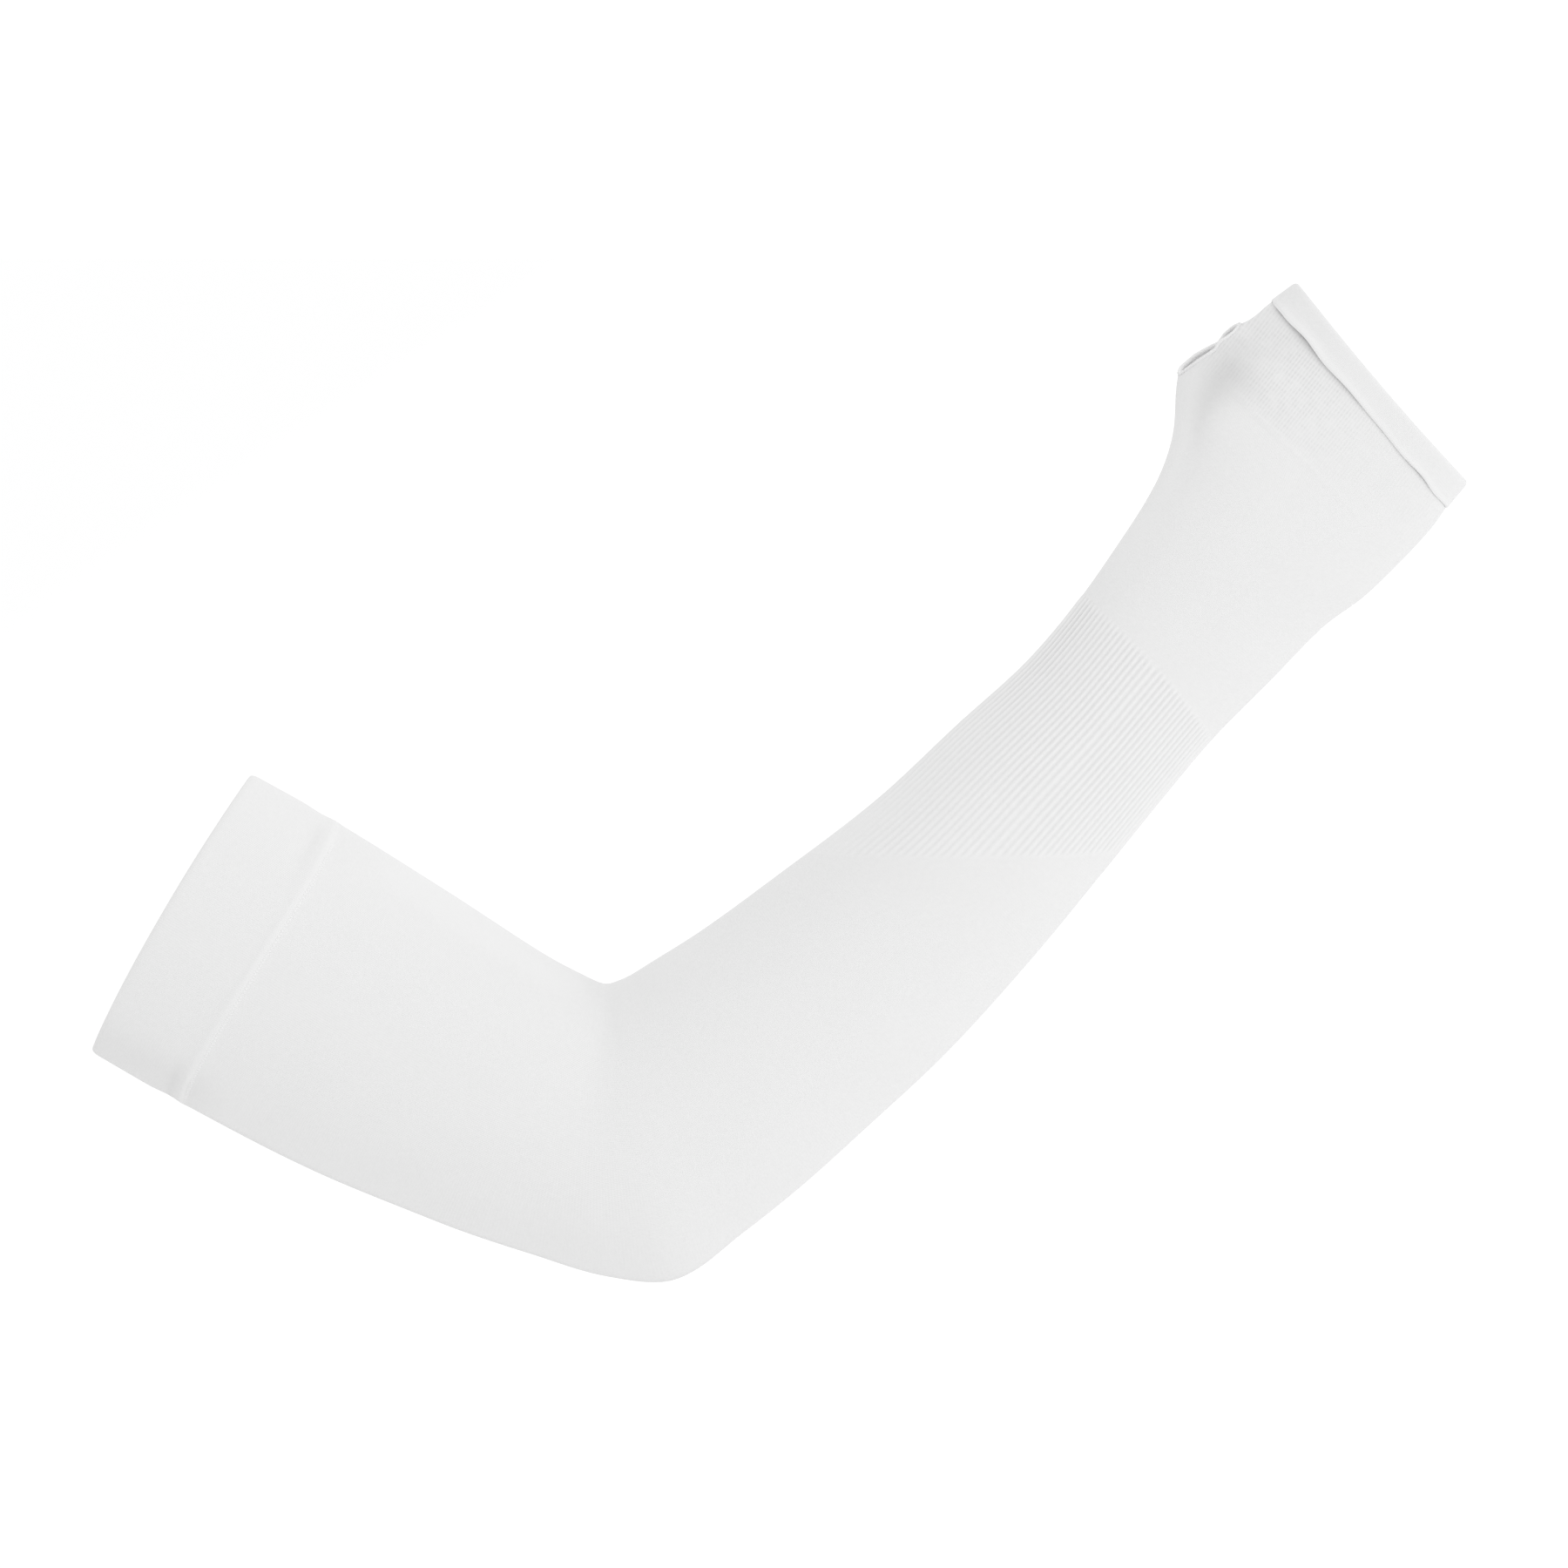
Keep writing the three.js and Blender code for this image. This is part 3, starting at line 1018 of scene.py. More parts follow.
class NodeTree(Tree):
    """A Geometry Nodes tree built in code, with named inputs."""

    def __init__(self, name: str, numbers: Sequence[str], counts: Sequence[str] = ()) -> None:
        """Makes a tree with a geometry input and output and a material input.

        Args:
            name: Its name.
            numbers: Names of its inputs for numbers.
            counts: Names of its inputs for whole numbers.
        """
        super().__init__(bpy.data.node_groups.new(name, "GeometryNodeTree"))
        for way in ("OUTPUT", "INPUT"):
            self.tree.interface.new_socket("Geometry", in_out=way, socket_type="NodeSocketGeometry")
        kinds = dict.fromkeys(numbers, "NodeSocketFloat") | dict.fromkeys(counts, "NodeSocketInt")
        kinds["Material"] = "NodeSocketMaterial"
        self.identifiers: dict[str, str] = {}
        for size, kind in kinds.items():
            socket = self.tree.interface.new_socket(size, in_out="INPUT", socket_type=kind)
            self.identifiers[size] = socket.identifier
        self.given = self.tree.nodes.new("NodeGroupInput").outputs

    def math(self, operation: str, *numbers: Union[Socket, Number]) -> Socket:
        """Adds a Math node and gives its result."""
        return self.node("ShaderNodeMath", {"operation": operation}, dict(enumerate(numbers))).outputs[0]

    def attribute(self, name: str, kind: str) -> Socket:
        """Reads a point attribute."""
        read = self.node("GeometryNodeInputNamedAttribute", {"data_type": kind}, {"Name": name})
        return read.outputs["Attribute"]

    def close(self, geometry: Socket) -> None:
        """Ends the tree: instances are made real and the cloth's material is set.

        Args:
            geometry: What the tree has made.
        """
        real = self.node("GeometryNodeRealizeInstances", {}, {"Geometry": geometry})
        dressed_inputs = {"Geometry": real.outputs["Geometry"], "Material": self.given["Material"]}
        dressed = self.node("GeometryNodeSetMaterial", {}, dressed_inputs)
        self.node("NodeGroupOutput", {}, {"Geometry": dressed.outputs["Geometry"]})

    def apply(self, piece: Piece, sizes: dict[str, object]) -> None:
        """Runs the tree on a piece and keeps the result as its plain mesh.

        Args:
            piece: The object whose mesh goes in.
            sizes: Values of the named inputs.
        """
        modifier = piece.modifiers.new(self.tree.name, "NODES")
        modifier.node_group = self.tree
        for name, size in sizes.items():
            modifier[self.identifiers[name]] = size
        evaluated = piece.evaluated_get(bpy.context.evaluated_depsgraph_get())
        made = bpy.data.meshes.new_from_object(evaluated)
        old = piece.data
        piece.modifiers.remove(modifier)
        piece.data = made
        made.name = piece.name
        bpy.data.meshes.remove(old)


class RibTree(NodeTree):
    """Raises ribs on a smooth band, along its normals, from the ribs' own count round it."""

    def __init__(self) -> None:
        """Builds the tree."""
        super().__init__("ribs", ("Crest", "Groove"))
        fade = self.attribute(RIB_FADE_MARK, "FLOAT")
        angle = self.math("MULTIPLY", self.attribute(RIB_TURN_MARK, "FLOAT"), math.tau)
        hump = self.math("MULTIPLY_ADD", self.math("COSINE", angle), 0.5, 0.5)
        crest = self.math("POWER", hump, CREST_POWER)
        height = self.math("MULTIPLY", crest, self.math("ADD", self.given["Crest"], self.given["Groove"]))
        height = self.math("MULTIPLY", self.math("SUBTRACT", height, self.given["Groove"]), fade)
        normal = self.node("GeometryNodeInputNormal", {}, {}).outputs["Normal"]
        offset = self.node("ShaderNodeVectorMath", {"operation": "SCALE"}, {0: normal, "Scale": height})
        moved_inputs = {"Geometry": self.given["Geometry"], "Offset": offset.outputs[0]}
        moved = self.node("GeometryNodeSetPosition", {}, moved_inputs)
        # The crest is stored for the rib material's painted shade in the grooves.
        plain = self.math("MULTIPLY", self.math("SUBTRACT", 1.0, fade), PLAIN_CREST)
        shown = self.math("ADD", self.math("MULTIPLY", crest, fade), plain)
        stored_inputs = {"Geometry": moved.outputs["Geometry"], "Name": CREST_MARK, "Value": shown}
        stored_settings = {"data_type": "FLOAT", "domain": "POINT"}
        stored = self.node("GeometryNodeStoreNamedAttribute", stored_settings, stored_inputs)
        self.close(stored.outputs["Geometry"])


class StitchTree(NodeTree):
    """Lays small rounded stitches across a path, square to the cloth under it."""

    def __init__(self) -> None:
        """Builds the tree."""
        numbers = ("Spacing", "Length", "Width", "Height", "Slant", "Jitter")
        super().__init__("stitches", numbers, ("Seed",))
        path = self.node("GeometryNodeMeshToCurve", {}, {"Mesh": self.given["Geometry"]})
        dot_inputs = {"Curve": path.outputs["Curve"], "Length": self.given["Spacing"]}
        dots = self.node("GeometryNodeCurveToPoints", {"mode": "LENGTH"}, dot_inputs)
        normal = self.attribute(NORMAL_MARK, "FLOAT_VECTOR")
        stand = self.node("FunctionNodeAlignRotationToVector", {"axis": "Z"}, {"Vector": normal})
        turn_inputs = {"Rotation": stand.outputs["Rotation"], "Vector": dots.outputs["Tangent"]}
        turn_settings = {"axis": "Y", "pivot_axis": "Z"}
        turn = self.node("FunctionNodeAlignRotationToVector", turn_settings, turn_inputs)
        twist = self.node("ShaderNodeCombineXYZ", {}, {"Z": self._angle()})
        local = self.node("FunctionNodeRotateRotation", {"rotation_space": "LOCAL"}, {
            "Rotation": turn.outputs["Rotation"],
            "Rotate By": twist.outputs["Vector"],
        })
        bead = self.node("GeometryNodeMeshUVSphere", {}, {"Segments": 8, "Rings": 5, "Radius": 0.5})
        rounded = self.node("GeometryNodeSetShadeSmooth", {}, {"Geometry": bead.outputs["Mesh"]})
        sizes = {axis: self.given[name] for axis, name in zip("XYZ", ("Length", "Width", "Height"))}
        size = self.node("ShaderNodeCombineXYZ", {}, sizes)
        shaped_inputs = {"Geometry": rounded.outputs["Geometry"], "Scale": size.outputs["Vector"]}
        shaped = self.node("GeometryNodeTransform", {}, shaped_inputs)
        laid = self.node("GeometryNodeInstanceOnPoints", {}, {
            "Points": dots.outputs["Points"],
            "Instance": shaped.outputs["Geometry"],
            "Rotation": local.outputs["Rotation"],
        })
        self.close(laid.outputs["Instances"])

    def _angle(self) -> Socket:
        """Draws the angle of each stitch, its slant give or take the jitter.

        Returns:
            The angle, in radians.
        """
        draw = self.node("FunctionNodeRandomValue", {"data_type": "FLOAT"}, {})
        bounds = {
            "Min": self.math("SUBTRACT", self.given["Slant"], self.given["Jitter"]),
            "Max": self.math("ADD", self.given["Slant"], self.given["Jitter"]),
            "Seed": self.given["Seed"],
        }
        sockets = {socket.name: socket for socket in draw.inputs if socket.enabled}
        for name, bound in bounds.items():
            self.tree.links.new(bound, sockets[name])
        return next(socket for socket in draw.outputs if socket.enabled)


@dataclass(frozen=True)
class StitchRow:
    """A row of stitches: sizes in millimetres, slant and jitter in radians."""

    spacing: float
    length: float
    width: float
    height: float
    slant: float
    jitter: float
    seed: int

    def sew(self, name: str, points: Array, normals: Array, thread: Material) -> Piece:
        """Lays the stitches along a closed path.

        Args:
            name: Name of the piece.
            points: Points of the path, in millimetres.
            normals: Outward normals of the cloth under it, of any length.
            thread: The stitches' material.

        Returns:
            The finished piece.
        """
        count = len(points)
        edges = [(index, (index + 1) % count) for index in range(count)]
        mesh = bpy.data.meshes.new(name)
        mesh.from_pydata((points * MM).tolist(), edges, [])
        unit = normals / np.linalg.norm(normals, axis=-1, keepdims=True)
        attribute = mesh.attributes.new(NORMAL_MARK, "FLOAT_VECTOR", "POINT")
        attribute.data.foreach_set("vector", unit.astype(np.float32).ravel())
        piece = place(name, mesh)
        StitchTree().apply(piece, {
            "Spacing": self.spacing * MM,
            "Length": self.length * MM,
            "Width": self.width * MM,
            "Height": self.height * MM,
            "Slant": self.slant,
            "Jitter": self.jitter,
            "Seed": self.seed,
            "Material": thread,
        })
        settle(piece, thread, None, Slot.SEAM)
        return piece


@dataclass
class Part:
    """What every sub-assembly needs: the sleeve's form and its materials."""

    form: SleeveForm
    finishes: Finishes


@dataclass
class UpperHem(Part):
    """The folded double welt round the upper-arm opening."""

    seam: SeamRidge
    sides: int = 200
    rows: int = 20
    seam_rows: int = 10
    inner_rows: int = 6
    wall: float = 2.1
    fold_radius: float = 2.6
    near_seam: float = 5.0
    cut: Cut = Cut(0.265, 0.031, (Node.ARM_TUBE,))

    def build(self) -> Piece:
        """Makes the welt.

        Returns:
            The finished piece.
        """
        fold = self.form.opening
        past_fold = shifted(fold, self.fold_radius)
        end = shifted(self.form.seam, -self.seam.half)
        before_end = shifted(end, -self.near_seam)
        half = self.wall / 2.0
        outer = between(past_fold, before_end, self.rows) + between(before_end, end, self.seam_rows)[1:]
        inner = between(past_fold, end, self.inner_rows)
        profile: Profile = [(edge, self.seam.welt - self.wall) for edge in reversed(inner)]
        profile += rounded_fold(fold, self.fold_radius, self.seam.welt - half, half)
        profile += [(edge, self.seam.height(edge)) for edge in outer]
        rings = Rings.through(self.sides, profile)
        marks = {SHADE_MARK: self.seam.shade(rings)}
        piece = WallLoft(self.form).piece("upper_hem_welt", rings, marks)
        settle(piece, self.finishes.welt, Node.UPPER_HEM, Slot.WELT)
        return piece


@dataclass
class HemSeam(Part):
    """The stitched ridge that closes the upper welt."""

    seam: SeamRidge
    sides: int = 200
    steps: int = 10
    row: StitchRow = StitchRow(1.05, 1.3, 0.75, 0.09, slant=0.18, jitter=0.12, seed=3)
    row_shift: float = 1.3
    row_points: int = 720
    sunk_before: Ramp = Ramp(12.0, 32.0)
    sunk_after: Ramp = Ramp(150.0, 168.0)
    normal_step: float = 0.25

    def build(self) -> list[Piece]:
        """Makes the ridge and its row of stitches.

        Returns:
            Both finished pieces.
        """
        line = self.form.seam
        start = shifted(line, -self.seam.half)
        end = shifted(line, self.seam.half)
        profile: Profile = [(edge, self.seam.height(edge)) for edge in between(start, end, self.steps)]
        profile += [(edge, -self.form.knit_wall) for edge in (end, line, start)]
        rings = Rings.through(self.sides, profile)
        ridge = WallLoft(self.form).piece("hem_seam_ridge", rings, {SHADE_MARK: self.seam.shade(rings)})
        settle(ridge, self.finishes.seam, Node.HEM_SEAM, Slot.SEAM)
        return [ridge, self._stitches()]

    def _stitches(self) -> Piece:
        """Lays the row of stitches on the ridge's far flank, sunk in at both ends.

        Returns:
            The finished piece.
        """
        angle = Rings.angles(self.row_points)
        line = shifted(self.form.seam, self.row_shift)
        turn = from_inner_side(angle)
        sunk = self.row.height * (1.0 - self.sunk_before(turn) + self.sunk_after(turn))
        points = self._on_ridge(line, angle, -sunk)
        return self.row.sew("hem_seam_stitches", points, self._normals(line, angle), self.finishes.thread)

    def _on_ridge(self, line: Edge, angle: Array, raised: Union[float, Array]) -> Array:
        """Gives points of a line at a height over the ridge's own face."""
        return self.form.point(line(angle), angle, self.seam.height(line)(angle) + raised)

    def _normals(self, line: Edge, angle: Array) -> Array:
        """Gives the ridge's outward normals along a line.

        Args:
            line: The line.
            angle: Angles round the sleeve.

        Returns:
            The normals, of any length.
        """
        step = self.normal_step
        ahead = self._on_ridge(shifted(line, step), angle, 0.0)
        behind = self._on_ridge(shifted(line, -step), angle, 0.0)
        around = self._on_ridge(line, angle + step, 0.0) - self._on_ridge(line, angle - step, 0.0)
        normal = np.cross(around, ahead - behind)
        out = self._on_ridge(line, angle, 1.0) - self._on_ridge(line, angle, 0.0)
        return normal * np.sign(np.sum(normal * out, axis=-1, keepdims=True))


@dataclass
class ArmTube(Part):
    """The plain knit tube over the upper arm, elbow and forearm."""

    seam: SeamRidge
    sides: int = 180
    rows: int = 185
    seam_rows: int = 10
    inner_rows: int = 80
    near_seam: float = 5.0
    edge_highlight: float = 0.14
    light_along: Window = Window(Ramp(42.0, 64.0), Ramp(122.0, 146.0))
    light_round: Ramp = Ramp(20.0, 38.0)
    cut: Cut = Cut(0.255, 0.28, (Node.UPPER_HEM, Node.RIB_BAND), 0.0625)

    def build(self) -> Piece:
        """Makes the tube.

        Returns:
            The finished piece.
        """
        start = shifted(self.form.seam, self.seam.half)
        past_start = shifted(start, self.near_seam)
        end = self.form.rib_start
        outer = between(start, past_start, self.seam_rows) + between(past_start, end, self.rows)[1:]
        profile: Profile = [(edge, self.seam.height(edge)) for edge in outer]
        inner = between(start, end, self.inner_rows)
        profile += [(edge, -self.form.knit_wall) for edge in reversed(inner)]
        rings = Rings.through(self.sides, profile)
        # Painted shade near the seam, less the painted highlight along the upper arm's inner side.
        marks = {SHADE_MARK: self.seam.shade(rings) - self._painted_highlight(rings)}
        piece = WallLoft(self.form).piece("arm_tube_knit", rings, marks)
        settle(piece, self.finishes.knit, Node.ARM_TUBE, Slot.KNIT)
        return piece

    def _painted_highlight(self, rings: Rings) -> Array:
        """Paints a highlight along the inner side of the upper arm."""
        turn = from_inner_side(Rings.angles(self.sides))
        return self.edge_highlight * self.light_along(rings.along) * (1.0 - self.light_round(turn))


@dataclass
class RibBand(Part):
    """The knitted ribs above the wrist, from a level edge to a slanted one."""

    ribs: int = 80
    evenness: float = 0.55
    sides: int = 720
    rows: int = 84
    inner_rows: int = 8
    crest: float = 0.1
    groove: float = 0.22
    crease: float = 75.0
    edge_fade: float = 2.4
    outer_loss: float = 0.8
    outer_side: Ramp = Ramp(146.0, 168.0)
    low_loss: float = 0.75
    low_side: Ramp = Ramp(20.0, 52.0)
    low_past: Ramp = Ramp(14.0, 40.0)
    low_share: float = 0.8
    wrist_share: float = 1.3
    wristwards: Ramp = Ramp(84.0, 34.0)
    corner_share: float = 1.0
    corner_side: Ramp = Ramp(16.0, 48.0)
    cornerwards: Ramp = Ramp(60.0, 8.0)
    cut: Cut = Cut(0.16, 0.085, (Node.ARM_TUBE, Node.HAND_COVER), 0.0125)

    def build(self) -> Piece:
        """Makes the band and raises its ribs.

        Returns:
            The finished piece.
        """
        start = self.form.rib_start
        end = self.form.rib_end
        profile: Profile = [(edge, 0.0) for edge in between(start, end, self.rows)]
        inner = between(start, end, self.inner_rows)
        profile += [(edge, -self.form.knit_wall) for edge in reversed(inner)]
        rings = Rings.through(self.sides, profile)
        angle = np.broadcast_to(Rings.angles(self.sides), rings.along.shape)
        marks = {RIB_TURN_MARK: self._phase(angle), RIB_FADE_MARK: self._fade(rings, angle)}
        piece = WallLoft(self.form).piece("rib_band_knit", rings, marks)
        RibTree().apply(piece, {
            "Crest": self.crest * MM,
            "Groove": self.groove * MM,
            "Material": self.finishes.rib,
        })
        finish_shading(piece.data, self.crease)
        settle(piece, self.finishes.rib, Node.RIB_BAND, Slot.RIB)
        return piece

    def _phase(self, angle: Array) -> Array:
        """Counts the ribs up to each angle, over one face and back over the other.

        Args:
            angle: Angles round the sleeve.

        Returns:
            The count, whole at each crest.
        """
        turn = from_inner_side(angle)
        seen = (1.0 - np.cos(np.radians(turn))) / 2.0
        share = turn / HALF_TURN * (1.0 - self.evenness) + seen * self.evenness
        return self.ribs / 2.0 * np.where(angle <= HALF_TURN, share, 2.0 - share)

    def _fade(self, rings: Rings, angle: Array) -> Array:
        """Lets the ribs die away at both edges, on the outer side and low on the inner side.

        Args:
            rings: The band's rings.
            angle: Angles of their points.

        Returns:
            How full the ribs are at each point, 0 on the inner wall.
        """
        # The fade sets both the ribs' height and the painted shade in their grooves, and grows past 1
        # towards the wrist and the inner corner.
        turn = from_inner_side(angle)
        past_start = rings.along - self.form.rib_start(angle[0])
        before_end = self.form.rib_end(angle[0]) - rings.along
        edge = Ramp(0.0, self.edge_fade)
        fade = edge(past_start) * edge(before_end)
        fade = fade * (1.0 - self.outer_loss * self.outer_side(turn))
        low = (1.0 - self.low_side(turn)) * (1.0 - self.low_past(past_start))
        fade = fade * (1.0 - self.low_loss * low)
        gain = self.wrist_share - self.low_share
        fade = fade * (self.low_share + gain * self.wristwards(before_end))
        corner = (1.0 - self.corner_side(turn)) * self.cornerwards(before_end)
        fade = fade * (1.0 + self.corner_share * corner)
        return np.where(rings.raised < -0.5 * self.form.knit_wall, 0.0, fade)


@dataclass
class ThumbHole:
    """The hole in the thumb stub: a slanted cut whose near and far lips wave a little."""

    form: SleeveForm
    foot_x: float = 312.1
    foot_z: float = 166.3
    tilt: float = 40.5
    reach_along: float = 40.0
    reach_round: float = 80.0
    lip_places: tuple[float, ...] = (-4.0, 0.0, 4.0, 8.0, 11.5, 14.0, 16.0, 17.5, 19.0, 21.5, 24.0, 28.0)
    near_lip: tuple[float, ...] = (0.0, 0.2, 0.1, -0.1, -0.5, -0.7, 0.1, 0.0, -0.3, -0.5, -0.3, 0.0)
    far_lip: tuple[float, ...] = (0.8, 1.4, 1.4, 1.3, 0.6, 0.0, -0.6, -0.3, 0.2, 0.4, 0.3, 0.0)
    far_side: Ramp = Ramp(-3.0, 3.0)

    def __post_init__(self) -> None:
        """Works out the directions along the hole and out of it."""
        turn = math.radians(self.tilt)
        self.foot = np.array([self.foot_x, 0.0, self.foot_z])
        self.out = np.array([-math.sin(turn), 0.0, math.cos(turn)])
        self.length = np.array([math.cos(turn), 0.0, math.sin(turn)])

    def lip(self, points: Array) -> Array:
        """Gives the lip's height over the hole's plane.

        Args:
            points: Points of the cloth.

        Returns:
            The height beside each point.
        """
        reached = (points - self.foot) @ self.length
        near = np.interp(reached, self.lip_places, self.near_lip)
        far = np.interp(reached, self.lip_places, self.far_lip)
        share = self.far_side(points[..., 1])
        return near * (1.0 - share) + far * share

    def past(self, points: Array) -> Array:
        """Tells how far each point lies outside the waving cut."""
        return (points - self.foot) @ self.out - self.lip(points)

    def edge(self, count: int, raised: float) -> Array:
        """Finds the edge of the hole on the cloth.

        Args:
            count: Points round the hole.
            raised: Height over the knit's outer face.

        Returns:
            The points, in order round the hole.
        """
        turn = math.tau * np.arange(count) / count
        crown = self.form.station("thumb crown")

        def reached(part: Array) -> Array:
            """Gives the points at a part of the way out from the crown."""
            along = crown + part * self.reach_along * np.cos(turn)
            return self.form.point(along, part * self.reach_round * np.sin(turn), raised)

        inside = np.zeros(count)
        outside = np.ones(count)
        for _ in range(self.form.halvings):
            part = (inside + outside) / 2.0
            beyond = self.past(reached(part)) > 0.0
            inside = np.where(beyond, part, inside)
            outside = np.where(beyond, outside, part)
        return reached(inside)


@dataclass
class HandCover(Part):
    """The plain knit over the hand, drawn out to a stub for the thumb and tucked under the hem.

    The painted shade in the hollow beside the thumb is a short table: places along the sleeve, and there
    its angle round the arm, how dark it is and how wide.
    """

    hole: ThumbHole
    gap: HemGap
    sides: int = 220
    rows: int = 130
    inner_rows: int = 60
    layer: float = 0.85
    crease: float = 60.0
    tuck_start: float = 1.8
    tuck_end: float = 2.8
    tuck_share: float = 0.6
    tuck_drop: float = 0.75
    ridge_back: float = 26.5
    ridge_slant: float = 3.2
    ridge_width: float = 0.7
    ridge_height: float = 0.22
    ridge_round: Window = Window(Ramp(48.0, 62.0), Ramp(112.0, 126.0))
    mesh_along: Ramp = Ramp(-2.0, 6.0)
    mesh_round: Ramp = Ramp(70.0, 115.0)
    mesh_loss: float = 0.75
    shade_back: float = 1.2
    shade_width: float = 0.85
    shade_depth: float = 0.55
    shade_from: Ramp = Ramp(-0.2, 0.3)
    shade_least: float = 0.05
    hollow_places: tuple[int, ...] = (415, 431, 440, 448, 456, 462, 466, 470, 474, 480)
    hollow_turns: tuple[float, ...] = (24.0, 28.0, 34.0, 38.0, 43.0, 48.0, 46.0, 37.0, 36.0, 36.0)
    hollow_shades: tuple[float, ...] = (0.0, 0.03, 0.14, 0.32, 0.56, 0.72, 0.56, 0.46, 0.22, 0.08)
    hollow_widths: tuple[float, ...] = (6.0, 6.0, 7.0, 8.5, 13.0, 15.5, 16.0, 16.0, 14.0, 14.0)
    web_light: float = 0.15
    web_along: Window = Window(Ramp(385.0, 408.0), Ramp(434.0, 450.0))
    web_round: Ramp = Ramp(20.0, 50.0)
    lip_over: float = 140.0
    lip_reach: float = 3.0
    cut_within: float = 1e-7
    cut: Cut = Cut(0.17, 0.11, (Node.RIB_BAND, Node.HAND_HEM), 0.0165)

    def build(self) -> Piece:
        """Makes the cover with its thumb hole cut open.

        Returns:
            The finished piece.
        """
        start = self.form.rib_end
        end = shifted(self.form.hem_line, self.tuck_end)
        outer = between(start, end, self.rows)
        inner = between(start, end, self.inner_rows)
        profile: Profile = [(edge, self._height(edge, 0.0, self.ridge_height)) for edge in outer]
        profile += [(edge, self._height(edge, self.layer, 0.0)) for edge in reversed(inner)]
        rings = Rings.through(self.sides, profile)
        turn = np.broadcast_to(from_inner_side(Rings.angles(self.sides)), rings.along.shape)
        # The inner face is marked for the painted glow.
        inner_face = np.repeat([0.0, 1.0], [len(outer), len(inner)])[:, None]
        marks = {
            MESH_MARK: self._open_knit(rings.along, turn),
            SHADE_MARK: self._shade(rings.along, turn),
            INNER_MARK: np.broadcast_to(inner_face, rings.along.shape),
        }
        piece = WallLoft(self.form).piece("hand_cover_knit", rings, marks)
        self._cut_hole(piece.data)
        finish_shading(piece.data, self.crease)
        settle(piece, self.finishes.hand_knit, Node.HAND_COVER, Slot.KNIT)
        return piece

    def _height(self, edge: Edge, drop: float, ridge_height: float) -> Edge:
        """Gives the cloth's height at an edge: the faint ridge, and the tuck under the hem.

        Args:
            edge: The edge.
            drop: How far the face lies under the outer one.
            ridge_height: Height of the ridge on this face.

        Returns:
            The height for each angle.
        """
        line = self.form.station("hand hem line")
        tuck = Ramp(line - self.tuck_start, line + self.tuck_share * self.tuck_end)

        def high(angle: Array) -> Array:
            """Adds the ridge to the tucked face.

            Args:
                angle: Angles round the sleeve.

            Returns:
                The height at each angle.
            """
            along = edge(angle)
            turn = from_inner_side(angle)
            ridge_at = line - self.ridge_back + self.ridge_slant * np.cos(np.radians(turn))
            ridge = bell((along - ridge_at) / self.ridge_width) * self.ridge_round(turn)
            return ridge_height * ridge - drop - self.tuck_drop * tuck(along)

        return high

    def _open_knit(self, along: Array, turn: Array) -> Array:
        """Marks the open mesh between the faint ridge and the hem, strongest towards the thumb."""
        past_ridge = along - (self.form.station("hand hem line") - self.ridge_back)
        return self.mesh_along(past_ridge) * (1.0 - self.mesh_loss * self.mesh_round(turn))

    def _shade(self, along: Array, turn: Array) -> Array:
        """Paints shade on the cloth right under the hem's edge and in the hollow beside the thumb.

        Args:
            along: Distances along the sleeve.
            turn: Angles from its inner side.

        Returns:
            The shade at each point, negative on the lighter web of the thumb.
        """
        # Painted shadow under the hem's free edge, as deep as the hem stands off.
        past = along - (self.form.station("hand hem line") - self.shade_back)
        under = np.maximum(bell(past / self.shade_width), self.shade_from(past))
        under = self.shade_depth * under * self.gap.share(turn)
        # Painted shade in the hollow beside the thumb, less a painted highlight on the thumb's web.
        columns = (self.hollow_turns, self.hollow_shades, self.hollow_widths)
        middle, depth, width = (np.interp(along, self.hollow_places, column) for column in columns)
        web = self.web_light * self.web_along(along) * (1.0 - self.web_round(turn))
        hollow = depth * bell((turn - middle) / width) - web
        return np.where(under > self.shade_least, np.maximum(under, hollow), hollow)

    def _cut_hole(self, mesh: bpy.types.Mesh) -> None:
        """Cuts the thumb hole: the lip is made flat, cut along its plane and let go again.

        Args:
            mesh: The cover's mesh.
        """
        shape = bmesh.new()
        shape.from_mesh(mesh)
        self._bend(shape, -1.0)
        bmesh.ops.bisect_plane(
            shape,
            geom=shape.verts[:] + shape.edges[:] + shape.faces[:],
            plane_co=Vector(tuple(self.hole.foot * MM)),
            plane_no=Vector(tuple(self.hole.out)),
            dist=self.cut_within,
            clear_outer=True,
        )
        rim = [edge for edge in shape.edges if edge.is_boundary]
        bmesh.ops.bridge_loops(shape, edges=rim)
        self._bend(shape, 1.0)
        shape.to_mesh(mesh)
        shape.free()

    def _bend(self, shape: bmesh.types.BMesh, sign: float) -> None:
        """Moves the cloth near the hole by the lip's own height, out or back.

        Args:
            shape: The cloth.
            sign: 1 to give the lip its waves, -1 to take them out.
        """
        points = np.array([vert.co for vert in shape.verts]) / MM
        away = np.abs((points - self.hole.foot) @ self.hole.out)
        near = np.where(points[:, 2] > self.lip_over, bell(away / self.lip_reach), 0.0)
        for vert, move in zip(shape.verts, self.hole.lip(points) * near):
            vert.co += Vector(tuple(self.hole.out * (sign * move * MM)))


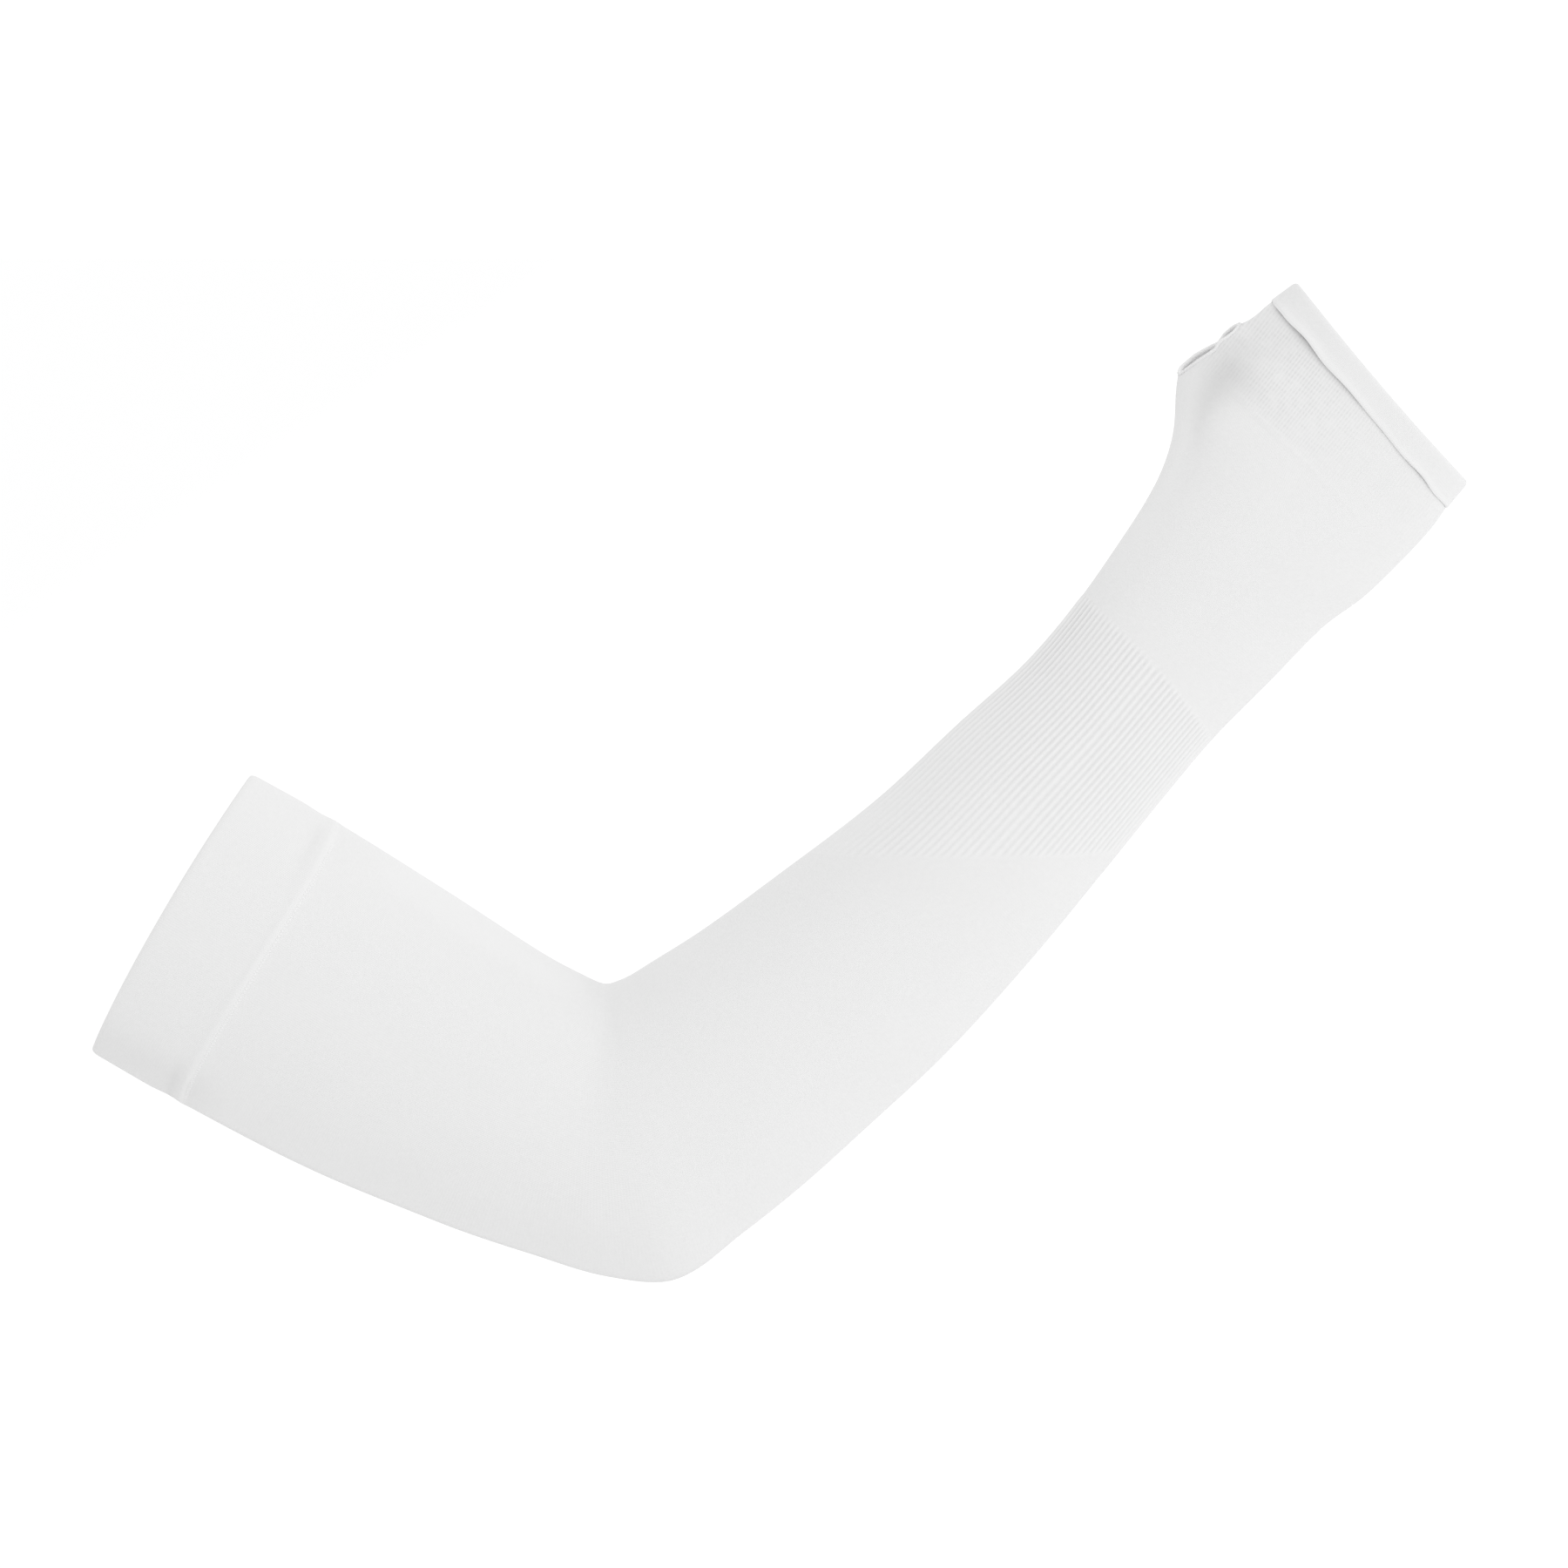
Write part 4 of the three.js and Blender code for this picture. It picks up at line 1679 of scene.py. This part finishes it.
@dataclass
class ThumbEdge(Part):
    """The narrow rolled rim of the thumb hole, with its overcast stitches."""

    hole: ThumbHole
    steps: int = 150
    around: int = 12
    layer: float = 0.85
    near_roll: float = 0.55
    far_roll: float = 0.78
    roll_side: float = 0.72
    crest_lift: float = 0.65
    crease: float = 80.0
    inner_from: Ramp = Ramp(-0.2, 0.4)
    stitch_pitch: float = 0.5
    row: StitchRow = StitchRow(1.3, 1.1, 0.42, 0.22, slant=0.35, jitter=0.1, seed=8)
    row_rise: float = 0.4
    row_side: float = 0.85

    def build(self) -> list[Piece]:
        """Makes the rim and its stitches.

        Returns:
            Both finished pieces.
        """
        out = self.hole.out
        outer = self.hole.edge(self.steps, 0.0)
        inner = self.hole.edge(self.steps, -self.layer)
        cut = (outer + inner) / 2.0
        roll = self.near_roll + (self.far_roll - self.near_roll) * self.hole.far_side(cut[:, 1])
        middle = cut + out * (self.crest_lift - roll)[:, None]
        side = outer - inner
        side /= np.linalg.norm(side, axis=1, keepdims=True)
        rim = self._rim(middle, side, roll)
        settle(rim, self.finishes.seam, Node.THUMB_EDGE, Slot.SEAM)
        crest = middle + out * (self.row_rise * roll)[:, None] + side * (self.row_side * self.roll_side)
        normals = self.row_rise * out + side
        return [rim, self.row.sew("thumb_edge_stitches", crest, normals, self.finishes.thread)]

    def _rim(self, middle: Array, side: Array, roll: Array) -> Piece:
        """Makes the ring-shaped roll.

        Args:
            middle: Points of its middle line, in millimetres.
            side: Unit vectors through the cloth.
            roll: Half its thickness out of the hole.

        Returns:
            The piece, not yet dressed.
        """
        turn = math.tau * np.arange(self.around) / self.around
        rings = (
            middle[:, None, :]
            + side[:, None, :] * (self.roll_side * np.cos(turn))[None, :, None]
            + self.hole.out[None, None, :] * (roll[:, None] * np.sin(turn))[..., None]
        )
        step, place_round = np.indices(rings.shape[:2])
        layout = np.stack([at_corners(step), at_corners(place_round)], axis=-1) * self.stitch_pitch
        marks = {
            # The roll's inner half is marked for the painted glow.
            INNER_MARK: np.broadcast_to(self.inner_from(-np.cos(turn)), rings.shape[:2]),
            SHADE_MARK: np.zeros(rings.shape[:2]),
        }
        return place("thumb_edge_rim", ring_mesh("thumb_edge_rim", rings, layout, marks, self.crease))


@dataclass
class HandHem(Part):
    """The folded hem at the knuckles, whose free edge lifts off the cover in soft waves."""

    gap: HemGap
    sides: int = 220
    rows: int = 16
    inner_rows: int = 5
    proud: float = 0.4
    wall: float = 2.0
    layer: float = 0.85
    fold_radius: float = 1.8
    lift: float = 1.0
    lift_end: Ramp = Ramp(0.0, 0.5)
    wave: float = 0.22
    waves: int = 9
    edge_wave: float = 0.225
    edge_shift: float = -0.85
    edge_drop: float = 0.3
    second_share: float = 0.6
    second_waves: int = 14
    second_start: float = 1.0
    underside: tuple[tuple[float, float], ...] = ((0.9, 0.9), (0.15, 1.0))
    notch: float = 3.2
    lip_light: float = 0.3
    lip_from: Ramp = Ramp(0.8, 2.4)
    cut: Cut = Cut(0.185, 0.0105, (Node.HAND_COVER,))

    def build(self) -> Piece:
        """Makes the hem.

        Returns:
            The finished piece.
        """
        fold = self.form.hand_opening
        half = self.wall / 2.0
        near_fold = shifted(fold, -self.fold_radius)
        inner_end = shifted(self.form.hem_line, self.notch)
        outer = between(self._free_edge, near_fold, self.rows)
        profile: Profile = [(outer[0], self._lip(1.0, -self.edge_drop))]
        for step in range(1, self.rows + 1):
            share = 1.0 - float(self.lift_end(np.array(step / self.rows)))
            profile.append((outer[step], self._lip(share, 0.0)))
        profile += rounded_fold(fold, -self.fold_radius, self.proud - half, -half)
        inner = between(near_fold, inner_end, self.inner_rows)
        profile += [(edge, self.proud - self.wall) for edge in inner]
        profile.append((inner_end, -self.layer))
        for back, share in self.underside:
            profile.append((shifted(self._free_edge, back), self._lip(share, -self.layer)))
        rings = Rings.through(self.sides, profile)
        # Painted highlight along the hem's free edge.
        past = rings.along - self._free_edge(Rings.angles(self.sides))
        marks = {SHADE_MARK: -self.lip_light * (1.0 - self.lip_from(past))}
        piece = WallLoft(self.form).piece("hand_hem_welt", rings, marks)
        settle(piece, self.finishes.welt, Node.HAND_HEM, Slot.WELT)
        return piece

    def _free_edge(self, angle: Array) -> Array:
        """Gives the hem's free edge, which wanders a little.

        Args:
            angle: Angles round the sleeve.

        Returns:
            The distance along it at each angle.
        """
        turn = np.radians(from_inner_side(angle))
        second = self.second_share * np.sin(turn * self.second_waves + self.second_start)
        wander = self.edge_wave * (np.sin(turn * self.waves) + second)
        return self.form.hem_line(angle) + self.edge_shift + wander

    def _lip(self, share: float, drop: float) -> Edge:
        """Gives the hem's height near its free edge.

        Args:
            share: How much of the lift is left, 1 at the edge.
            drop: Height under the outer face.

        Returns:
            The height for each angle.
        """

        def high(angle: Array) -> Array:
            """Lifts the hem by its gap, in waves."""
            wavy = 1.0 + self.wave * np.sin(np.radians(from_inner_side(angle) * self.waves)) / self.lift
            return self.proud + drop + share * self.lift * self.gap.share(angle) * wavy

        return high


@dataclass
class Studio:
    """Plain white floor, soft light that is brighter from the right, and the camera."""

    floor_drop: float = 0.15
    floor_half: float = 30.0
    floor_grey: float = 0.6
    floor_spread: float = 0.8
    floor_light: tuple[float, float] = (0.32, 0.505)
    sky_light: tuple[float, float] = (1.035, 1.225)
    lamp_away: tuple[float, float, float] = (1.8, -0.9, 0.1)
    lamp_size: float = 0.8
    lamp_power: float = 2.8
    distance: float = 3.0
    elevation: float = 4.0
    aim: tuple[float, float, float] = (0.1901, 0.0, 0.03996)
    frame_width: float = 0.486
    sensor: float = 36.0

    def build(self, lowest: float) -> None:
        """Sets up floor, light and camera.

        Args:
            lowest: Height of the sleeve's lowest point, in metres.
        """
        bpy.context.scene.view_settings.view_transform = "Standard"
        bpy.context.scene.view_settings.look = "None"
        self._floor(lowest - self.floor_drop)
        self._sky()
        self._lamp()
        self._camera()

    def _floor(self, height: float) -> None:
        """Lays a white floor, a little brighter to the right.

        Args:
            height: Its height, in metres.
        """
        half = self.floor_half
        mesh = bpy.data.meshes.new("floor")
        corners = [(x, y, height) for x, y in ((-half, -half), (half, -half), (half, half), (-half, half))]
        mesh.from_pydata(corners, [], [(0, 1, 2, 3)])
        floor = place("floor", mesh)
        white = bpy.data.materials.new("white floor")
        graph = Graph(white)
        spread = (self.aim[0] - self.floor_spread, self.aim[0] + self.floor_spread)
        graph.surface({
            "Base Color": (self.floor_grey,) * 3 + (1.0,),
            "Roughness": 1.0,
            "Specular IOR Level": 0.0,
            "Emission Color": self._sideways(graph, graph.place(), spread, self.floor_light),
            "Emission Strength": 1.0,
        })
        mesh.materials.append(white)
        floor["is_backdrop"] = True

    def _sky(self) -> None:
        """Fills the room with white light, a little brighter from the right."""
        world = bpy.data.worlds.new("studio")
        graph = Graph(world)
        glow = self._sideways(graph, graph.place("Generated"), (-1.0, 1.0), self.sky_light)
        sky = graph.node("ShaderNodeBackground", {}, {"Color": glow, "Strength": 1.0})
        graph.node("ShaderNodeOutputWorld", {}, {"Surface": sky.outputs["Background"]})
        bpy.context.scene.world = world

    @staticmethod
    def _sideways(
        graph: Graph,
        vector: Socket,
        reach: tuple[float, float],
        light: tuple[float, float],
    ) -> Value:
        """Gives a light that changes from left to right.

        Args:
            graph: The tree that it belongs to.
            vector: Place or direction.
            reach: Its x at the left and at the right end.
            light: The light at both ends.

        Returns:
            The light as a grey.
        """
        inputs = {"Value": graph.parts(vector)[0]}
        inputs |= {"From Min": reach[0], "From Max": reach[1], "To Min": light[0], "To Max": light[1]}
        return graph.value("ShaderNodeMapRange", {}, inputs)

    def _aimed(self, name: str, data: bpy.types.ID, away: Vector) -> Piece:
        """Puts a lamp or camera into the scene, turned to the point that the picture is aimed at.

        Args:
            name: Its name.
            data: The lamp or camera.
            away: Where it stands, from that point.

        Returns:
            The object.
        """
        made = bpy.data.objects.new(name, data)
        made.location = Vector(self.aim) + away
        made.rotation_euler = (-away).to_track_quat("-Z", "Y").to_euler()
        bpy.context.scene.collection.objects.link(made)
        return made

    def _lamp(self) -> None:
        """Hangs a soft square lamp to the right."""
        light = bpy.data.lights.new("key", "AREA")
        light.shape = "RECTANGLE"
        light.size = light.size_y = self.lamp_size
        light.energy = self.lamp_power
        self._aimed("key", light, Vector(self.lamp_away))

    def _camera(self) -> None:
        """Puts the camera in front of the sleeve, a little above it."""
        turn = math.radians(self.elevation)
        data = bpy.data.cameras.new("camera")
        data.sensor_width = self.sensor
        data.lens = self.sensor * self.distance / self.frame_width
        away = Vector((0.0, -math.cos(turn), math.sin(turn))) * self.distance
        bpy.context.scene.camera = self._aimed("camera", data, away)


def plain_box(bounds: Sequence[Sequence[float]]) -> list[list[float]]:
    """Turns a box's two corners into plain lists."""
    return [[float(number) for number in corner] for corner in bounds]


def main() -> None:
    """Builds the sleeve's pieces in order, then the studio below the imported model's lowest point."""
    logging.basicConfig(level=logging.INFO, format="%(name)s %(message)s")
    cad_box = plain_box(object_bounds())
    form = SleeveForm()
    finishes = Finishes.made()
    seam = SeamRidge(form)
    hole = ThumbHole(form)
    gap = HemGap()
    upper_hem = UpperHem(form, finishes, seam)
    welt = upper_hem.build()
    upper_hem.cut.declare(welt, HemSeam(form, finishes, seam).build())
    for part in (ArmTube(form, finishes, seam), RibBand(form, finishes)):
        part.cut.declare(part.build())
    hand_cover = HandCover(form, finishes, hole, gap)
    cover = hand_cover.build()
    hand_cover.cut.declare(cover, ThumbEdge(form, finishes, hole).build())
    hand_hem = HandHem(form, finishes, gap)
    hand_hem.cut.declare(hand_hem.build())
    Studio().build(cad_box[0][2])


if __name__ == "__main__":
    main()
